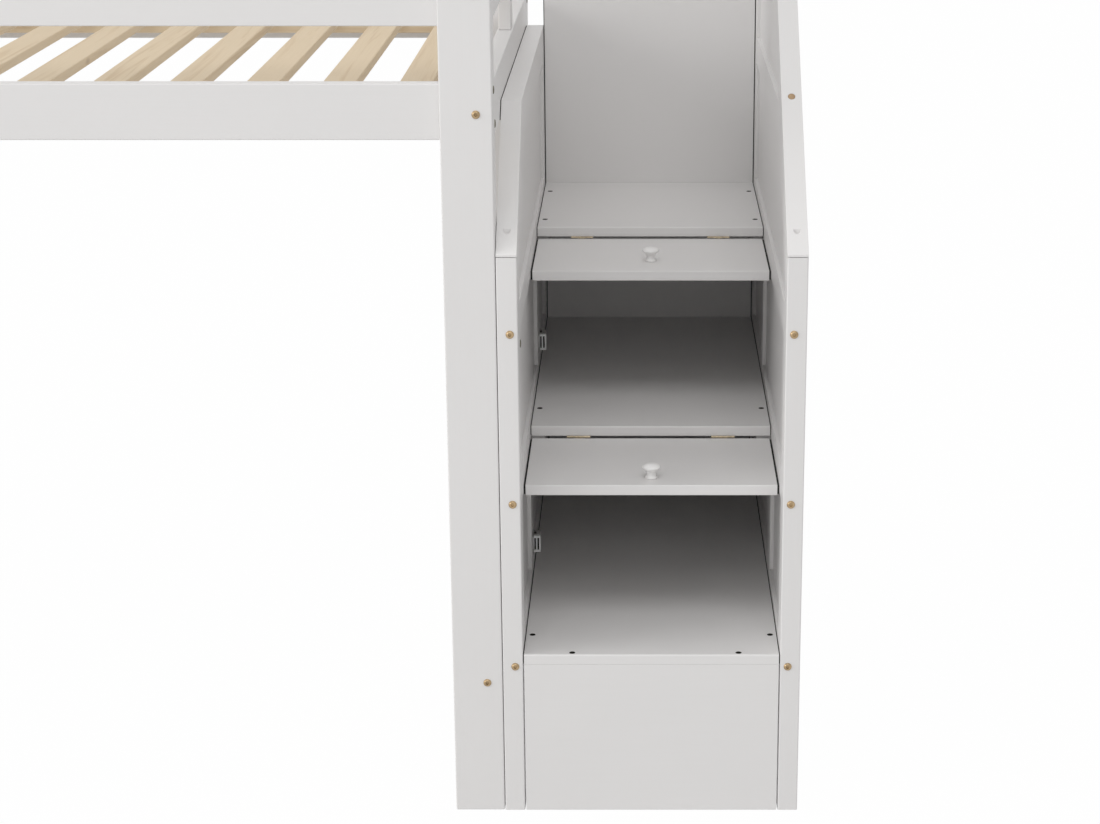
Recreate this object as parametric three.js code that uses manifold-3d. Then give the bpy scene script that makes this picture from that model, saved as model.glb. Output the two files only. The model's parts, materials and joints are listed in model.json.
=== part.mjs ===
// Twin loft bed with a storage stair at its right end.
// Millimetres, +Z up, front towards -Y. The origin is on the floor at the middle of the outline.
// The bed is a post-and-rail frame with slats and guard boards. The stair has framed side walls,
// boarded treads and two cupboards whose doors lift on butt hinges; they are shown open.

import * as THREE from 'three';
import { mergeVertices } from 'three/addons/utils/BufferGeometryUtils.js';
import Module from 'manifold-3d';

const wasm = await Module();
wasm.setup();

// Bed outline and posts
const bedLength = 2050;
const bedDepth = 1080;
const postWidth = 73.5;
const postDepth = 57;
const postAboveGuard = 10.5;

// Rails that carry the deck, and the stretchers low down between the end posts
const railThickness = 25;
const railHeight = 79;
const railAboveStep = 6.5;
const endRailSetBack = 0.6;
const stretcherBottom = 179;
const stretcherHeight = 60;

// Slatted deck
const slatWidth = 49;
const slatThickness = 15;
const slatPitch = 113;
const slatPostGap = 25.5;
const slatBelowRailTop = 26.5;
const slatEndClearance = 2;
const ledgeWidth = 25;
const ledgeHeight = 25;

// Guard boards above the deck
const guardThickness = 20;
const guardBoardHeight = 90;
const guardGap = 79;
const newelWidth = 57;
const accessWidth = 404;

// Stair: rise, goings and boards
const rise = 254;
const stairCount = 3;
const firstGoing = 325;
const secondGoing = 309;
const boardThickness = 16;
const stairInnerWidth = 382;
const boardSideGap = 1.5;
const bedToStairGap = 0.8;
const backPanelThickness = 12;
const backPanelRebate = 8;
const backPanelSideGap = 2.4;

// Stair side walls: post, stiles, rails and the panel set back between them
const wallThickness = 30;
const frameWidth = 57;
const wallRailHeight = 46;
const wallRailBelowTread = 28;
const wallFootRail = 60;
const panelSetBack = 6;
const seamAboveLanding = 96;
const seamGap = 0.4;
const slopeAboveSeam = 4;
const slopeRise = 0.9;
const leftWallBelowRail = 53.5;
const rightWallBelowPost = 50;
const stileBeforeDoor = 15;
const cornerRadius = 5;
const cleatWidth = 22;
const cleatHeight = 22;
const cleatFrontGap = 24;

// Doors, hinges, knobs and catches
const leafThickness = 1;
const leafGap = 0.4;
const doorFloorGap = 4;
const doorSideGap = 2.6;
const knuckleRadius = 1.6;
const knuckleFaceGap = 0.2;
const pinRadius = 0.8;
const pinClearance = 0.3;
const pinEndGap = 1;
const hingeLength = 37;
const hingeFromSide = 75;
const hingeLeafDepth = 14;
const knuckleCount = 3;
const knuckleJointGap = 0.4;
const knuckleWeb = 1.1;
const seatGap = 0.3;
const knobFromDoorEdge = { lower: 34.8, upper: 67.8 };
const knobRadius = 13.6;
const knobHeight = 23;
// Knob outline from base to crown, as shares of its radius and of its height
const knobOutline = [
  [0, 0],
  [0.66, 0],
  [0.68, 0.06],
  [0.63, 0.12],
  [0.54, 0.17],
  [0.51, 0.26],
  [0.51, 0.37],
  [0.58, 0.47],
  [0.91, 0.66],
  [1, 0.74],
  [0.96, 0.82],
  [0.78, 0.91],
  [0.42, 0.98],
  [0, 1],
];
const catchStandoff = 2;
const catchDepth = 14;
const catchHeight = 27.8;
const catchAboveTread = 35.3;
const catchRibs = [0.8, 2.2, 2.4];
const catchSlotWidth = 2.8;
const catchRim = 3.4;
const catchSlotDepth = 11;
const catchBaseSetBack = 4;
const catchEarHeight = 7.5;
const catchEarThickness = 3;
const catchEarSetBack = 6;
const catchDoorGap = 0.8;

// Edge roundings
const boardRadius = 2;
const postRadius = 2.5;
const slatRadius = 2;

// Mesh steps: segments in a rounded edge, sides of the round pieces, weld distance, cut overlap
const arcSteps = 3;
const knuckleSides = 14;
const pinSides = 10;
const knobSides = 20;
const weldDistance = 1e-4;
const overCut = 1;

// Sizes that follow from the ones above
const railBottom = (stairCount + 1) * rise + railAboveStep;
const railTop = railBottom + railHeight;
const slatTop = railTop - slatBelowRailTop;
const ledgeTop = slatTop - slatThickness;
const lowerGuardBottom = railTop + guardGap;
const upperGuardBottom = lowerGuardBottom + guardBoardHeight + guardGap;
const guardTop = upperGuardBottom + guardBoardHeight;
const postHeight = guardTop + postAboveGuard;
const innerLength = bedLength - 2 * postWidth;
const postMiddle = postDepth / 2;
const endRailMiddle = endRailSetBack + railThickness / 2;
const treadWidth = stairInnerWidth - 2 * boardSideGap;
const wallInner = stairInnerWidth / 2;
const stairWidth = stairInnerWidth + 2 * wallThickness;
const treadFronts = [0, firstGoing, firstGoing + secondGoing];
const seamHeight = stairCount * rise + seamAboveLanding;
const slopeStart = seamHeight + slopeAboveSeam;
const leftWallTop = railTop - leftWallBelowRail;
const rightWallTop = postHeight - rightWallBelowPost;
const backPanelFront = bedDepth - postDepth - backPanelThickness;
const wallDepth = backPanelFront + backPanelThickness;
const doorTopGap = 2 * leafThickness + leafGap;
const doorLength = rise - boardThickness - doorTopGap - doorFloorGap;
const doorWidth = stairInnerWidth - 2 * doorSideGap;
const hingeSpread = treadWidth / 2 - hingeFromSide;
const pivotForward = knuckleRadius + knuckleFaceGap;
const pivotBelow = doorTopGap / 2;
const catchWidth = catchRibs[0] + catchRibs[1] + catchRibs[2] + 2 * catchSlotWidth;
const totalLength = bedLength + bedToStairGap + stairWidth;
const bedLeft = -totalLength / 2;
const stairCentre = totalLength / 2 - stairWidth / 2;
const front = -bedDepth / 2;

const whitePaint = { color: 0xdddddc, roughness: 0.42, metalness: 0 };
const pine = { color: 0xcbb89b, roughness: 0.62, metalness: 0 };
const brass = { color: 0xb08a60, roughness: 0.35, metalness: 0.9 };
const whitePlastic = { color: 0xe6e6e4, roughness: 0.3, metalness: 0 };

// Local axes (x, y, z) of an extrusion turned so that its length runs along the named axis.
const turned = {
  x: new THREE.Matrix4().makeBasis(
    new THREE.Vector3(0, 1, 0), new THREE.Vector3(0, 0, 1), new THREE.Vector3(1, 0, 0)),
  y: new THREE.Matrix4().makeBasis(
    new THREE.Vector3(0, 0, 1), new THREE.Vector3(1, 0, 0), new THREE.Vector3(0, 1, 0)),
  z: new THREE.Matrix4(),
};

function addMesh(parent, name, geometry, finish, x = 0, y = 0, z = 0) {
  const material = new THREE.MeshStandardMaterial(finish);
  const mesh = new THREE.Mesh(geometry, material);
  mesh.name = name;
  mesh.position.set(x, y, z);
  parent.add(mesh);
  return mesh;
}

function roundedRectangle(width, height, radius) {
  const shape = new THREE.Shape();
  const right = width / 2 - radius;
  const top = height / 2 - radius;
  shape.absarc(right, top, radius, 0, Math.PI / 2);
  shape.absarc(-right, top, radius, Math.PI / 2, Math.PI);
  shape.absarc(-right, -top, radius, Math.PI, 1.5 * Math.PI);
  shape.absarc(right, -top, radius, 1.5 * Math.PI, 2 * Math.PI);
  shape.closePath();
  return shape;
}

function extruded(shape, length, axis, steps = arcSteps) {
  const options = { depth: length, bevelEnabled: false, curveSegments: steps };
  const geometry = new THREE.ExtrudeGeometry(shape, options);
  return geometry.applyMatrix4(turned[axis]);
}

// A board with its long edges rounded. corner is its lowest corner, size its extent on each axis.
function addBoard(parent, name, axis, corner, size, radius, finish) {
  const [sx, sy, sz] = size;
  const section = { x: [sy, sz], y: [sz, sx], z: [sx, sy] }[axis];
  const length = { x: sx, y: sy, z: sz }[axis];
  const geometry = extruded(roundedRectangle(section[0], section[1], radius), length, axis);
  const middle = [corner[0] + sx / 2, corner[1] + sy / 2, corner[2] + sz / 2];
  middle['xyz'.indexOf(axis)] = corner['xyz'.indexOf(axis)];
  return addMesh(parent, name, geometry, finish, ...middle);
}

function toSolid(geometry) {
  const plain = geometry.index ? geometry.toNonIndexed() : geometry.clone();
  plain.deleteAttribute('normal');
  plain.deleteAttribute('uv');
  const merged = mergeVertices(plain, weldDistance);
  const mesh = new wasm.Mesh({
    numProp: 3,
    vertProperties: new Float32Array(merged.attributes.position.array),
    triVerts: new Uint32Array(merged.index.array),
  });
  return new wasm.Manifold(mesh);
}

function toGeometry(solid) {
  const mesh = solid.getMesh();
  const geometry = new THREE.BufferGeometry();
  const position = new THREE.BufferAttribute(new Float32Array(mesh.vertProperties), 3);
  geometry.setAttribute('position', position);
  geometry.setIndex(new THREE.BufferAttribute(new Uint32Array(mesh.triVerts), 1));
  geometry.computeVertexNormals();
  return geometry;
}

function block(sx, sy, sz, x, y, z) {
  return new THREE.BoxGeometry(sx, sy, sz).translate(x + sx / 2, y + sy / 2, z + sz / 2);
}

// Outline in the (y, z) plane through the given points, each corner rounded by its third value.
function outline(points) {
  const shape = new THREE.Shape();
  points.forEach(([y, z, radius = 0], index) => {
    const corner = new THREE.Vector2(y, z);
    const before = new THREE.Vector2(...points.at(index - 1));
    const after = new THREE.Vector2(...points[(index + 1) % points.length]);
    const start = corner.clone().add(before.sub(corner).setLength(radius));
    const end = corner.clone().add(after.sub(corner).setLength(radius));
    if (index === 0) shape.moveTo(start.x, start.y);
    else shape.lineTo(start.x, start.y);
    if (radius > 0) shape.quadraticCurveTo(corner.x, corner.y, end.x, end.y);
  });
  shape.closePath();
  return shape;
}

function buildPosts(bed) {
  const places = {
    front_left_post: [0, 0],
    front_right_post: [bedLength - postWidth, 0],
    rear_left_post: [0, bedDepth - postDepth],
    rear_right_post: [bedLength - postWidth, bedDepth - postDepth],
  };
  for (const [name, [x, y]] of Object.entries(places)) {
    addBoard(bed, name, 'z', [x, y, 0], [postWidth, postDepth, postHeight], postRadius, whitePaint);
  }
}

// Pieces that run between the end posts, at the left end and again at the right end.
function addAtBothEnds(bed, label, bottom, height, thickness) {
  const span = bedDepth - 2 * postDepth;
  const lefts = { left: endRailMiddle, right: bedLength - endRailMiddle };
  for (const [side, middle] of Object.entries(lefts)) {
    const corner = [middle - thickness / 2, postDepth, bottom];
    addBoard(bed, `${side}_${label}`, 'y', corner, [thickness, span, height], boardRadius, whitePaint);
  }
}

// Pieces that run the length of the bed, in front and again at the rear.
function addAtBothSides(bed, label, bottom, height, thickness) {
  const middles = { front: postMiddle, rear: bedDepth - postMiddle };
  for (const [side, middle] of Object.entries(middles)) {
    const corner = [postWidth, middle - thickness / 2, bottom];
    const size = [innerLength, thickness, height];
    addBoard(bed, `${side}_${label}`, 'x', corner, size, boardRadius, whitePaint);
  }
}

function buildDeck(bed) {
  const railInner = postMiddle + railThickness / 2;
  const ledgeFronts = { front: railInner, rear: bedDepth - railInner - ledgeWidth };
  for (const [side, y] of Object.entries(ledgeFronts)) {
    const corner = [postWidth, y, ledgeTop - ledgeHeight];
    addBoard(bed, `${side}_slat_ledge`, 'x', corner, [innerLength, ledgeWidth, ledgeHeight],
      slatRadius, pine);
  }
  const slatLength = bedDepth - 2 * railInner - 2 * slatEndClearance;
  const run = innerLength - 2 * slatPostGap - slatWidth;
  const gaps = Math.round(run / slatPitch);
  for (let i = 0; i <= gaps; i += 1) {
    const x = postWidth + slatPostGap + run * i / gaps;
    const corner = [x, railInner + slatEndClearance, ledgeTop];
    const name = `slat_${String(i + 1).padStart(2, '0')}`;
    addBoard(bed, name, 'y', corner, [slatWidth, slatLength, slatThickness], slatRadius, pine);
  }
}

// Two short boards and their end stile in one glued frame, in front of the way onto the deck.
function buildAccessGuard(bed) {
  const newelFront = bedDepth - postDepth - accessWidth - newelWidth;
  const newelBack = newelFront + newelWidth;
  const guard = new THREE.Shape();
  const corners = [
    [postDepth, lowerGuardBottom],
    [newelFront, lowerGuardBottom],
    [newelFront, railTop],
    [newelBack, railTop],
    [newelBack, guardTop],
    [postDepth, guardTop],
    [postDepth, upperGuardBottom],
    [newelFront, upperGuardBottom],
    [newelFront, lowerGuardBottom + guardBoardHeight],
    [postDepth, lowerGuardBottom + guardBoardHeight],
  ];
  guard.setFromPoints(corners.map(([y, z]) => new THREE.Vector2(y, z)));
  const x = bedLength - endRailMiddle - guardThickness / 2;
  addMesh(bed, 'access_guard_frame', extruded(guard, guardThickness, 'x'), whitePaint, x, 0, 0);
}

function buildBed(parent) {
  const bed = new THREE.Group();
  bed.position.set(bedLeft, front, 0);
  parent.add(bed);
  buildPosts(bed);
  addAtBothSides(bed, 'side_rail', railBottom, railHeight, railThickness);
  addAtBothEnds(bed, 'end_rail', railBottom, railHeight, railThickness);
  addAtBothEnds(bed, 'end_stretcher', stretcherBottom, stretcherHeight, railThickness);
  buildDeck(bed);
  addAtBothSides(bed, 'guard_lower', lowerGuardBottom, guardBoardHeight, guardThickness);
  addAtBothSides(bed, 'guard_upper', upperGuardBottom, guardBoardHeight, guardThickness);
  const span = bedDepth - 2 * postDepth;
  const x = endRailMiddle - guardThickness / 2;
  const boards = { lower: lowerGuardBottom, upper: upperGuardBottom };
  for (const [level, z] of Object.entries(boards)) {
    addBoard(bed, `left_guard_${level}`, 'y', [x, postDepth, z],
      [guardThickness, span, guardBoardHeight], boardRadius, whitePaint);
  }
  buildAccessGuard(bed);
}

// Where the inner edge of the sloped stile stands at a given height.
function slopeInner(z) {
  const across = frameWidth * Math.hypot(1, slopeRise) / slopeRise;
  return Math.max(frameWidth, (z - slopeStart) / slopeRise + across);
}

// The panels between stiles and rails, as outlines in the (y, z) plane, for a wall of this height.
function panelOutlines(wallTop) {
  const back = wallDepth - frameWidth;
  const railFoot = (level) => level * rise - wallRailBelowTread;
  const railHead = (level) => railFoot(level) + wallRailHeight;
  const bays = [[frameWidth, back, wallFootRail, railFoot(1)]];
  for (let level = 1; level < stairCount; level += 1) {
    const stile = treadFronts[level] - stileBeforeDoor;
    bays.push([frameWidth, stile, railHead(level), railFoot(level + 1)]);
    bays.push([stile + frameWidth, back, railHead(level), railFoot(level + 1)]);
  }
  const panels = bays.map(([y0, y1, z0, z1]) => [[y0, z0], [y1, z0], [y1, z1], [y0, z1]]);
  const bend = slopeStart + slopeRise * (frameWidth - slopeInner(slopeStart));
  const bottom = railHead(stairCount);
  const top = railFoot(stairCount + 1);
  const turn = Math.max(bend, bottom + overCut);
  panels.push([[frameWidth, bottom], [back, bottom], [back, top], [slopeInner(top), top],
    [frameWidth, turn]]);
  const upperFoot = railHead(stairCount + 1);
  const upperHead = wallTop - frameWidth;
  if (upperHead > upperFoot) {
    panels.push([[slopeInner(upperFoot), upperFoot], [back, upperFoot], [back, upperHead],
      [slopeInner(upperHead), upperHead]]);
  }
  return panels;
}

// One stair wall: the tall framed board behind and above the front post, with the tread cleats.
function buildWall(stair, side, wallTop) {
  const outer = side === 'left' ? -wallInner - wallThickness : wallInner;
  const slopeEnd = (wallTop - slopeStart) / slopeRise;
  const edge = outline([
    [frameWidth + seamGap, 0],
    [wallDepth, 0],
    [wallDepth, wallTop, boardRadius],
    [slopeEnd, wallTop, cornerRadius],
    [0, slopeStart],
    [0, seamHeight + seamGap],
    [frameWidth + seamGap, seamHeight + seamGap],
  ]);
  let wall = toSolid(extruded(edge, wallThickness, 'x').translate(outer, 0, 0));
  for (const corners of panelOutlines(wallTop)) {
    const shape = new THREE.Shape(corners.map(([y, z]) => new THREE.Vector2(y, z)));
    for (const start of [outer - overCut, outer + wallThickness - panelSetBack]) {
      const recess = extruded(shape, panelSetBack + overCut, 'x').translate(start, 0, 0);
      wall = wall.subtract(toSolid(recess));
    }
  }
  const face = side === 'left' ? -wallInner : wallInner;
  for (let level = 1; level <= stairCount; level += 1) {
    const y = Math.max(treadFronts[level - 1] + cleatFrontGap, frameWidth + seamGap);
    const z = level * rise - boardThickness - cleatHeight;
    const reach = cleatWidth + panelSetBack + overCut;
    const x = side === 'left' ? face - panelSetBack - overCut : face - cleatWidth;
    wall = wall.add(toSolid(block(reach, backPanelFront - seatGap - y, cleatHeight, x, y, z)));
  }
  addMesh(stair, `${side}_side_wall`, toGeometry(wall), whitePaint);
  addBoard(stair, `${side}_stair_post`, 'z', [outer, 0, 0], [wallThickness, frameWidth, seamHeight],
    boardRadius, whitePaint);
}

function buildTreads(stair) {
  const left = -treadWidth / 2;
  treadFronts.forEach((y, index) => {
    const top = (index + 1) * rise;
    const depth = backPanelFront - seatGap - y;
    addBoard(stair, `tread_${index + 1}`, 'x', [left, y, top - boardThickness],
      [treadWidth, depth, boardThickness], boardRadius, whitePaint);
  });
  addBoard(stair, 'bottom_riser', 'x', [left, 0, 0],
    [treadWidth, boardThickness, rise - boardThickness], boardRadius, whitePaint);
  const fullWidth = stairInnerWidth - 2 * seatGap;
  const faceWidth = stairInnerWidth - 2 * backPanelSideGap;
  const face = block(faceWidth, backPanelThickness, rightWallTop,
    -faceWidth / 2, backPanelFront, 0);
  const lip = block(fullWidth, backPanelThickness - backPanelRebate, rightWallTop,
    -fullWidth / 2, backPanelFront + backPanelRebate, 0);
  addMesh(stair, 'back_panel', toGeometry(toSolid(face).add(toSolid(lip))), whitePaint);
}

function cylinderAlongX(radius, length, sides) {
  return new THREE.CylinderGeometry(radius, radius, length, sides).rotateZ(Math.PI / 2);
}

// Hinge leaves about the pivot at the origin. The fixed leaf lies under the tread and carries the
// end knuckles and the pin; the moving leaf stands on the door's edge with the middle knuckle.
function hingeLeaf(fixed) {
  const knuckleLength = hingeLength / knuckleCount;
  const middle = knuckleLength - 2 * knuckleJointGap;
  const back = pivotForward + hingeLeafDepth;
  if (fixed) {
    const plate = block(hingeLength, back, leafThickness,
      -hingeLength / 2, 0, pivotBelow - leafThickness);
    let leaf = toSolid(plate);
    const notch = block(knuckleLength, pivotForward + knuckleWeb, 2 * knuckleRadius,
      -knuckleLength / 2, -knuckleWeb, -knuckleRadius);
    leaf = leaf.subtract(toSolid(notch));
    for (const x of [-knuckleLength, knuckleLength]) {
      const knuckle = cylinderAlongX(knuckleRadius, knuckleLength, knuckleSides);
      leaf = leaf.add(toSolid(knuckle.translate(x, 0, 0)));
    }
    const pin = cylinderAlongX(pinRadius, hingeLength - 2 * pinEndGap, pinSides);
    return toGeometry(leaf.add(toSolid(pin)));
  }
  const edge = -pivotBelow;
  const tongue = block(middle, leafThickness, back, -middle / 2, edge, -back);
  const plate = block(hingeLength, leafThickness, back - knuckleRadius - knuckleWeb,
    -hingeLength / 2, edge, -back);
  let leaf = toSolid(tongue).add(toSolid(plate));
  leaf = leaf.add(toSolid(cylinderAlongX(knuckleRadius, middle, knuckleSides)));
  const bore = cylinderAlongX(pinRadius + pinClearance, middle + 2 * overCut, knuckleSides);
  return toGeometry(leaf.subtract(toSolid(bore)));
}

function knobGeometry() {
  const points = knobOutline.map(([r, z]) => new THREE.Vector2(r * knobRadius, z * knobHeight));
  return new THREE.LatheGeometry(points, knobSides).rotateX(Math.PI / 2);
}

// The catch: a case that stands a little off the wall on a base, with two deep slots in its front
// beside a middle rib, and an ear on top for its screw.
function catchGeometry() {
  let body = toSolid(block(catchWidth, catchDepth, catchHeight, catchStandoff, 0, 0));
  const slotHeight = catchHeight - 2 * catchRim;
  let x = catchStandoff;
  for (const rib of catchRibs.slice(0, -1)) {
    x += rib;
    const slot = block(catchSlotWidth, catchSlotDepth + overCut, slotHeight, x, -overCut, catchRim);
    body = body.subtract(toSolid(slot));
    x += catchSlotWidth;
  }
  const base = block(catchStandoff + catchRibs[0] / 2, catchDepth - catchBaseSetBack, slotHeight,
    0, catchBaseSetBack, catchRim);
  const ear = block(catchWidth, catchEarThickness, catchEarHeight + catchRim,
    catchStandoff, catchEarSetBack, catchHeight - catchRim);
  return toGeometry(body.add(toSolid(base)).add(toSolid(ear)));
}

// A cupboard between two treads: door, knob and hinges about the pivot, and the catch on the wall.
function buildCupboard(stair, label, level) {
  const face = treadFronts[level];
  const underside = (level + 1) * rise - boardThickness;
  const pivot = new THREE.Group();
  pivot.position.set(0, face - pivotForward, underside - pivotBelow);
  stair.add(pivot);
  const top = -pivotForward;
  const hingeEdge = -pivotBelow;
  const corner = [-doorWidth / 2, hingeEdge - doorLength, top - boardThickness];
  addBoard(pivot, `${label}_door`, 'x', corner, [doorWidth, doorLength, boardThickness],
    boardRadius, whitePaint);
  const knobPlace = [0, hingeEdge - doorLength + knobFromDoorEdge[label], top];
  addMesh(pivot, `${label}_knob`, knobGeometry(), whitePaint, ...knobPlace);
  for (const [side, x] of Object.entries({ left: -hingeSpread, right: hingeSpread })) {
    addMesh(pivot, `${label}_${side}_hinge_fixed_leaf`, hingeLeaf(true), brass, x, 0, 0);
    addMesh(pivot, `${label}_${side}_hinge_door_leaf`, hingeLeaf(false), brass, x, 0, 0);
  }
  addMesh(stair, `${label}_catch`, catchGeometry(), whitePlastic,
    -wallInner, face + boardThickness + catchDoorGap, level * rise + catchAboveTread);
}

function buildStair(parent) {
  const stair = new THREE.Group();
  stair.position.set(stairCentre, front, 0);
  parent.add(stair);
  buildWall(stair, 'left', leftWallTop);
  buildWall(stair, 'right', rightWallTop);
  buildTreads(stair);
  buildCupboard(stair, 'lower', 1);
  buildCupboard(stair, 'upper', 2);
}

const loftBed = new THREE.Group();
buildBed(loftBed);
buildStair(loftBed);

export default loftBed;
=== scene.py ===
"""Finish pieces, materials, light and camera for a twin loft bed with a storage stair.

Every piece is made in metres in the part's own frame: +X along the bed towards the stair,
+Y from the front to the rear, +Z up, with the floor at Z 0. The stair's own numbers are
measured from the middle of its front edge.
"""

import json
import logging
import math
from collections.abc import Iterable, Sequence
from dataclasses import dataclass, field
from enum import Enum
from typing import ClassVar

import bmesh
import bpy
from bmesh.types import BMEdge, BMFace, BMesh, BMVert
from bpy.types import Material, Mesh, Node, NodeSocket, NodeTree
from mathutils import Matrix, Vector


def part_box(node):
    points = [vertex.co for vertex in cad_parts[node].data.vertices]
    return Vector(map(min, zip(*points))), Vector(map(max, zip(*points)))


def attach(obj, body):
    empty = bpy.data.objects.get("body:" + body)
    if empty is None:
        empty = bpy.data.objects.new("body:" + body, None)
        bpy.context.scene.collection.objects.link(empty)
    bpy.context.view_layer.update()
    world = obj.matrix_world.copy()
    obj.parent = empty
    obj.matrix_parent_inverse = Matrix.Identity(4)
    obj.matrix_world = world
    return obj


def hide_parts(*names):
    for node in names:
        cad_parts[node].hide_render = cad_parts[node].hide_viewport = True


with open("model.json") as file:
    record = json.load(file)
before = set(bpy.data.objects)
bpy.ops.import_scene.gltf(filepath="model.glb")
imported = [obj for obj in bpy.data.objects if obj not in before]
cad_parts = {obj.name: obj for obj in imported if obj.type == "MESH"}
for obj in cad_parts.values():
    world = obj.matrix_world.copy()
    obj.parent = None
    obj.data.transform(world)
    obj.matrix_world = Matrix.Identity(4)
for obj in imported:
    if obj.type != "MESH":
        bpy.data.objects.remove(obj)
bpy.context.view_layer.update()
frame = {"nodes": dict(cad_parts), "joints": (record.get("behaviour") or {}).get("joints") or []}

FRAME_BODY = "bed_and_stair"
LOG = logging.getLogger("loft_bed")

Triple = tuple[float, float, float]
Colour = Triple
Corner = Sequence[float]
Outline = list[tuple[float, float]]
Profile = Sequence[tuple[float, float]]
Reach = tuple[float, float]

BOARD_RADIUS = 0.002
POST_RADIUS = 0.0022
SLAT_RADIUS = 0.002
CRISP_RADIUS = 0.0005
END_RADIUS = 0.0002
BEVEL_STEPS = 3
ROUNDED_ABOVE = 8.0
SQUARE_ABOVE = 60.0
SHARP_ABOVE = 50.0
HOLE_SHARP_ABOVE = 25.0
KNOB_SHARP_ABOVE = 80.0
WELD = 1e-6
HEAD_SIDES = 24
BORE_SIDES = 40
BARREL_SIDES = 28
KNOB_SIDES = 48


class Axis(Enum):
    """The direction that a board's grain, a turned piece or a fastener runs in."""

    X = 0
    Y = 1
    Z = 2

    def turn(self, sign: float = 1.0) -> Matrix:
        """Returns the turn that takes +Z to this axis, or to its opposite.

        Args:
            sign: 1 for the axis itself, -1 for its opposite.

        Returns:
            A 4x4 matrix with no shift.
        """
        way = Vector((0.0, 0.0, 0.0))
        way[self.value] = sign
        return way.to_track_quat("Z", "Y").to_matrix().to_4x4()

    def spread(self, cycles: Reach) -> list[float]:
        """Spreads a pattern's cycles per metre over X, Y and Z.

        Args:
            cycles: how many there are across this axis and along it.

        Returns:
            The three numbers.
        """
        stretch = [cycles[0]] * 3
        stretch[self.value] = cycles[1]
        return stretch


class Side(Enum):
    """The two sides of the stair, by the sign of X on its own axes."""

    LEFT = -1
    RIGHT = 1

    @property
    def word(self) -> str:
        """The side's name as node names spell it."""
        return self.name.lower()


class NodeSheet:
    """A node tree, with short calls for adding and joining nodes."""

    def __init__(self, tree: NodeTree) -> None:
        """Takes the tree."""
        self.tree = tree

    def add(self, kind: str, **settings: object) -> Node:
        """Adds a node and sets its properties.

        Args:
            kind: the node's type, such as ShaderNodeTexNoise.
            **settings: property names and values.

        Returns:
            The new node.
        """
        node = self.tree.nodes.new(kind)
        for name, value in settings.items():
            setattr(node, name, value)
        return node

    def fill(self, node: Node, **values: object) -> Node:
        """Sets plain values on a node's sockets.

        Args:
            node: the node.
            **values: socket names with _ for spaces, and their values.

        Returns:
            The same node.
        """
        for name, value in values.items():
            node.inputs[name.replace("_", " ")].default_value = value
        return node

    def join(self, source: NodeSocket, target: NodeSocket) -> None:
        """Links one socket to another."""
        self.tree.links.new(source, target)

    def span(self, factor: NodeSocket, low: float, high: float) -> NodeSocket:
        """Maps a factor from 0 to 1 onto another range.

        Args:
            factor: the socket to map.
            low: the value at 0.
            high: the value at 1.

        Returns:
            The mapped socket.
        """
        node = self.fill(self.add("ShaderNodeMapRange"), To_Min=low, To_Max=high)
        self.join(factor, node.inputs["Value"])
        return node.outputs["Result"]

    def seen_plainly(self) -> NodeSocket:
        """Adds a factor that is 1 where the camera, a mirror or glass looks at a surface.

        Returns:
            The factor socket.
        """
        path = self.add("ShaderNodeLightPath")
        seen = path.outputs["Is Camera Ray"]
        for kind in ("Is Glossy Ray", "Is Transmission Ray"):
            either = self.add("ShaderNodeMath", operation="MAXIMUM")
            self.join(seen, either.inputs[0])
            self.join(path.outputs[kind], either.inputs[1])
            seen = either.outputs[0]
        return seen


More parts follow.
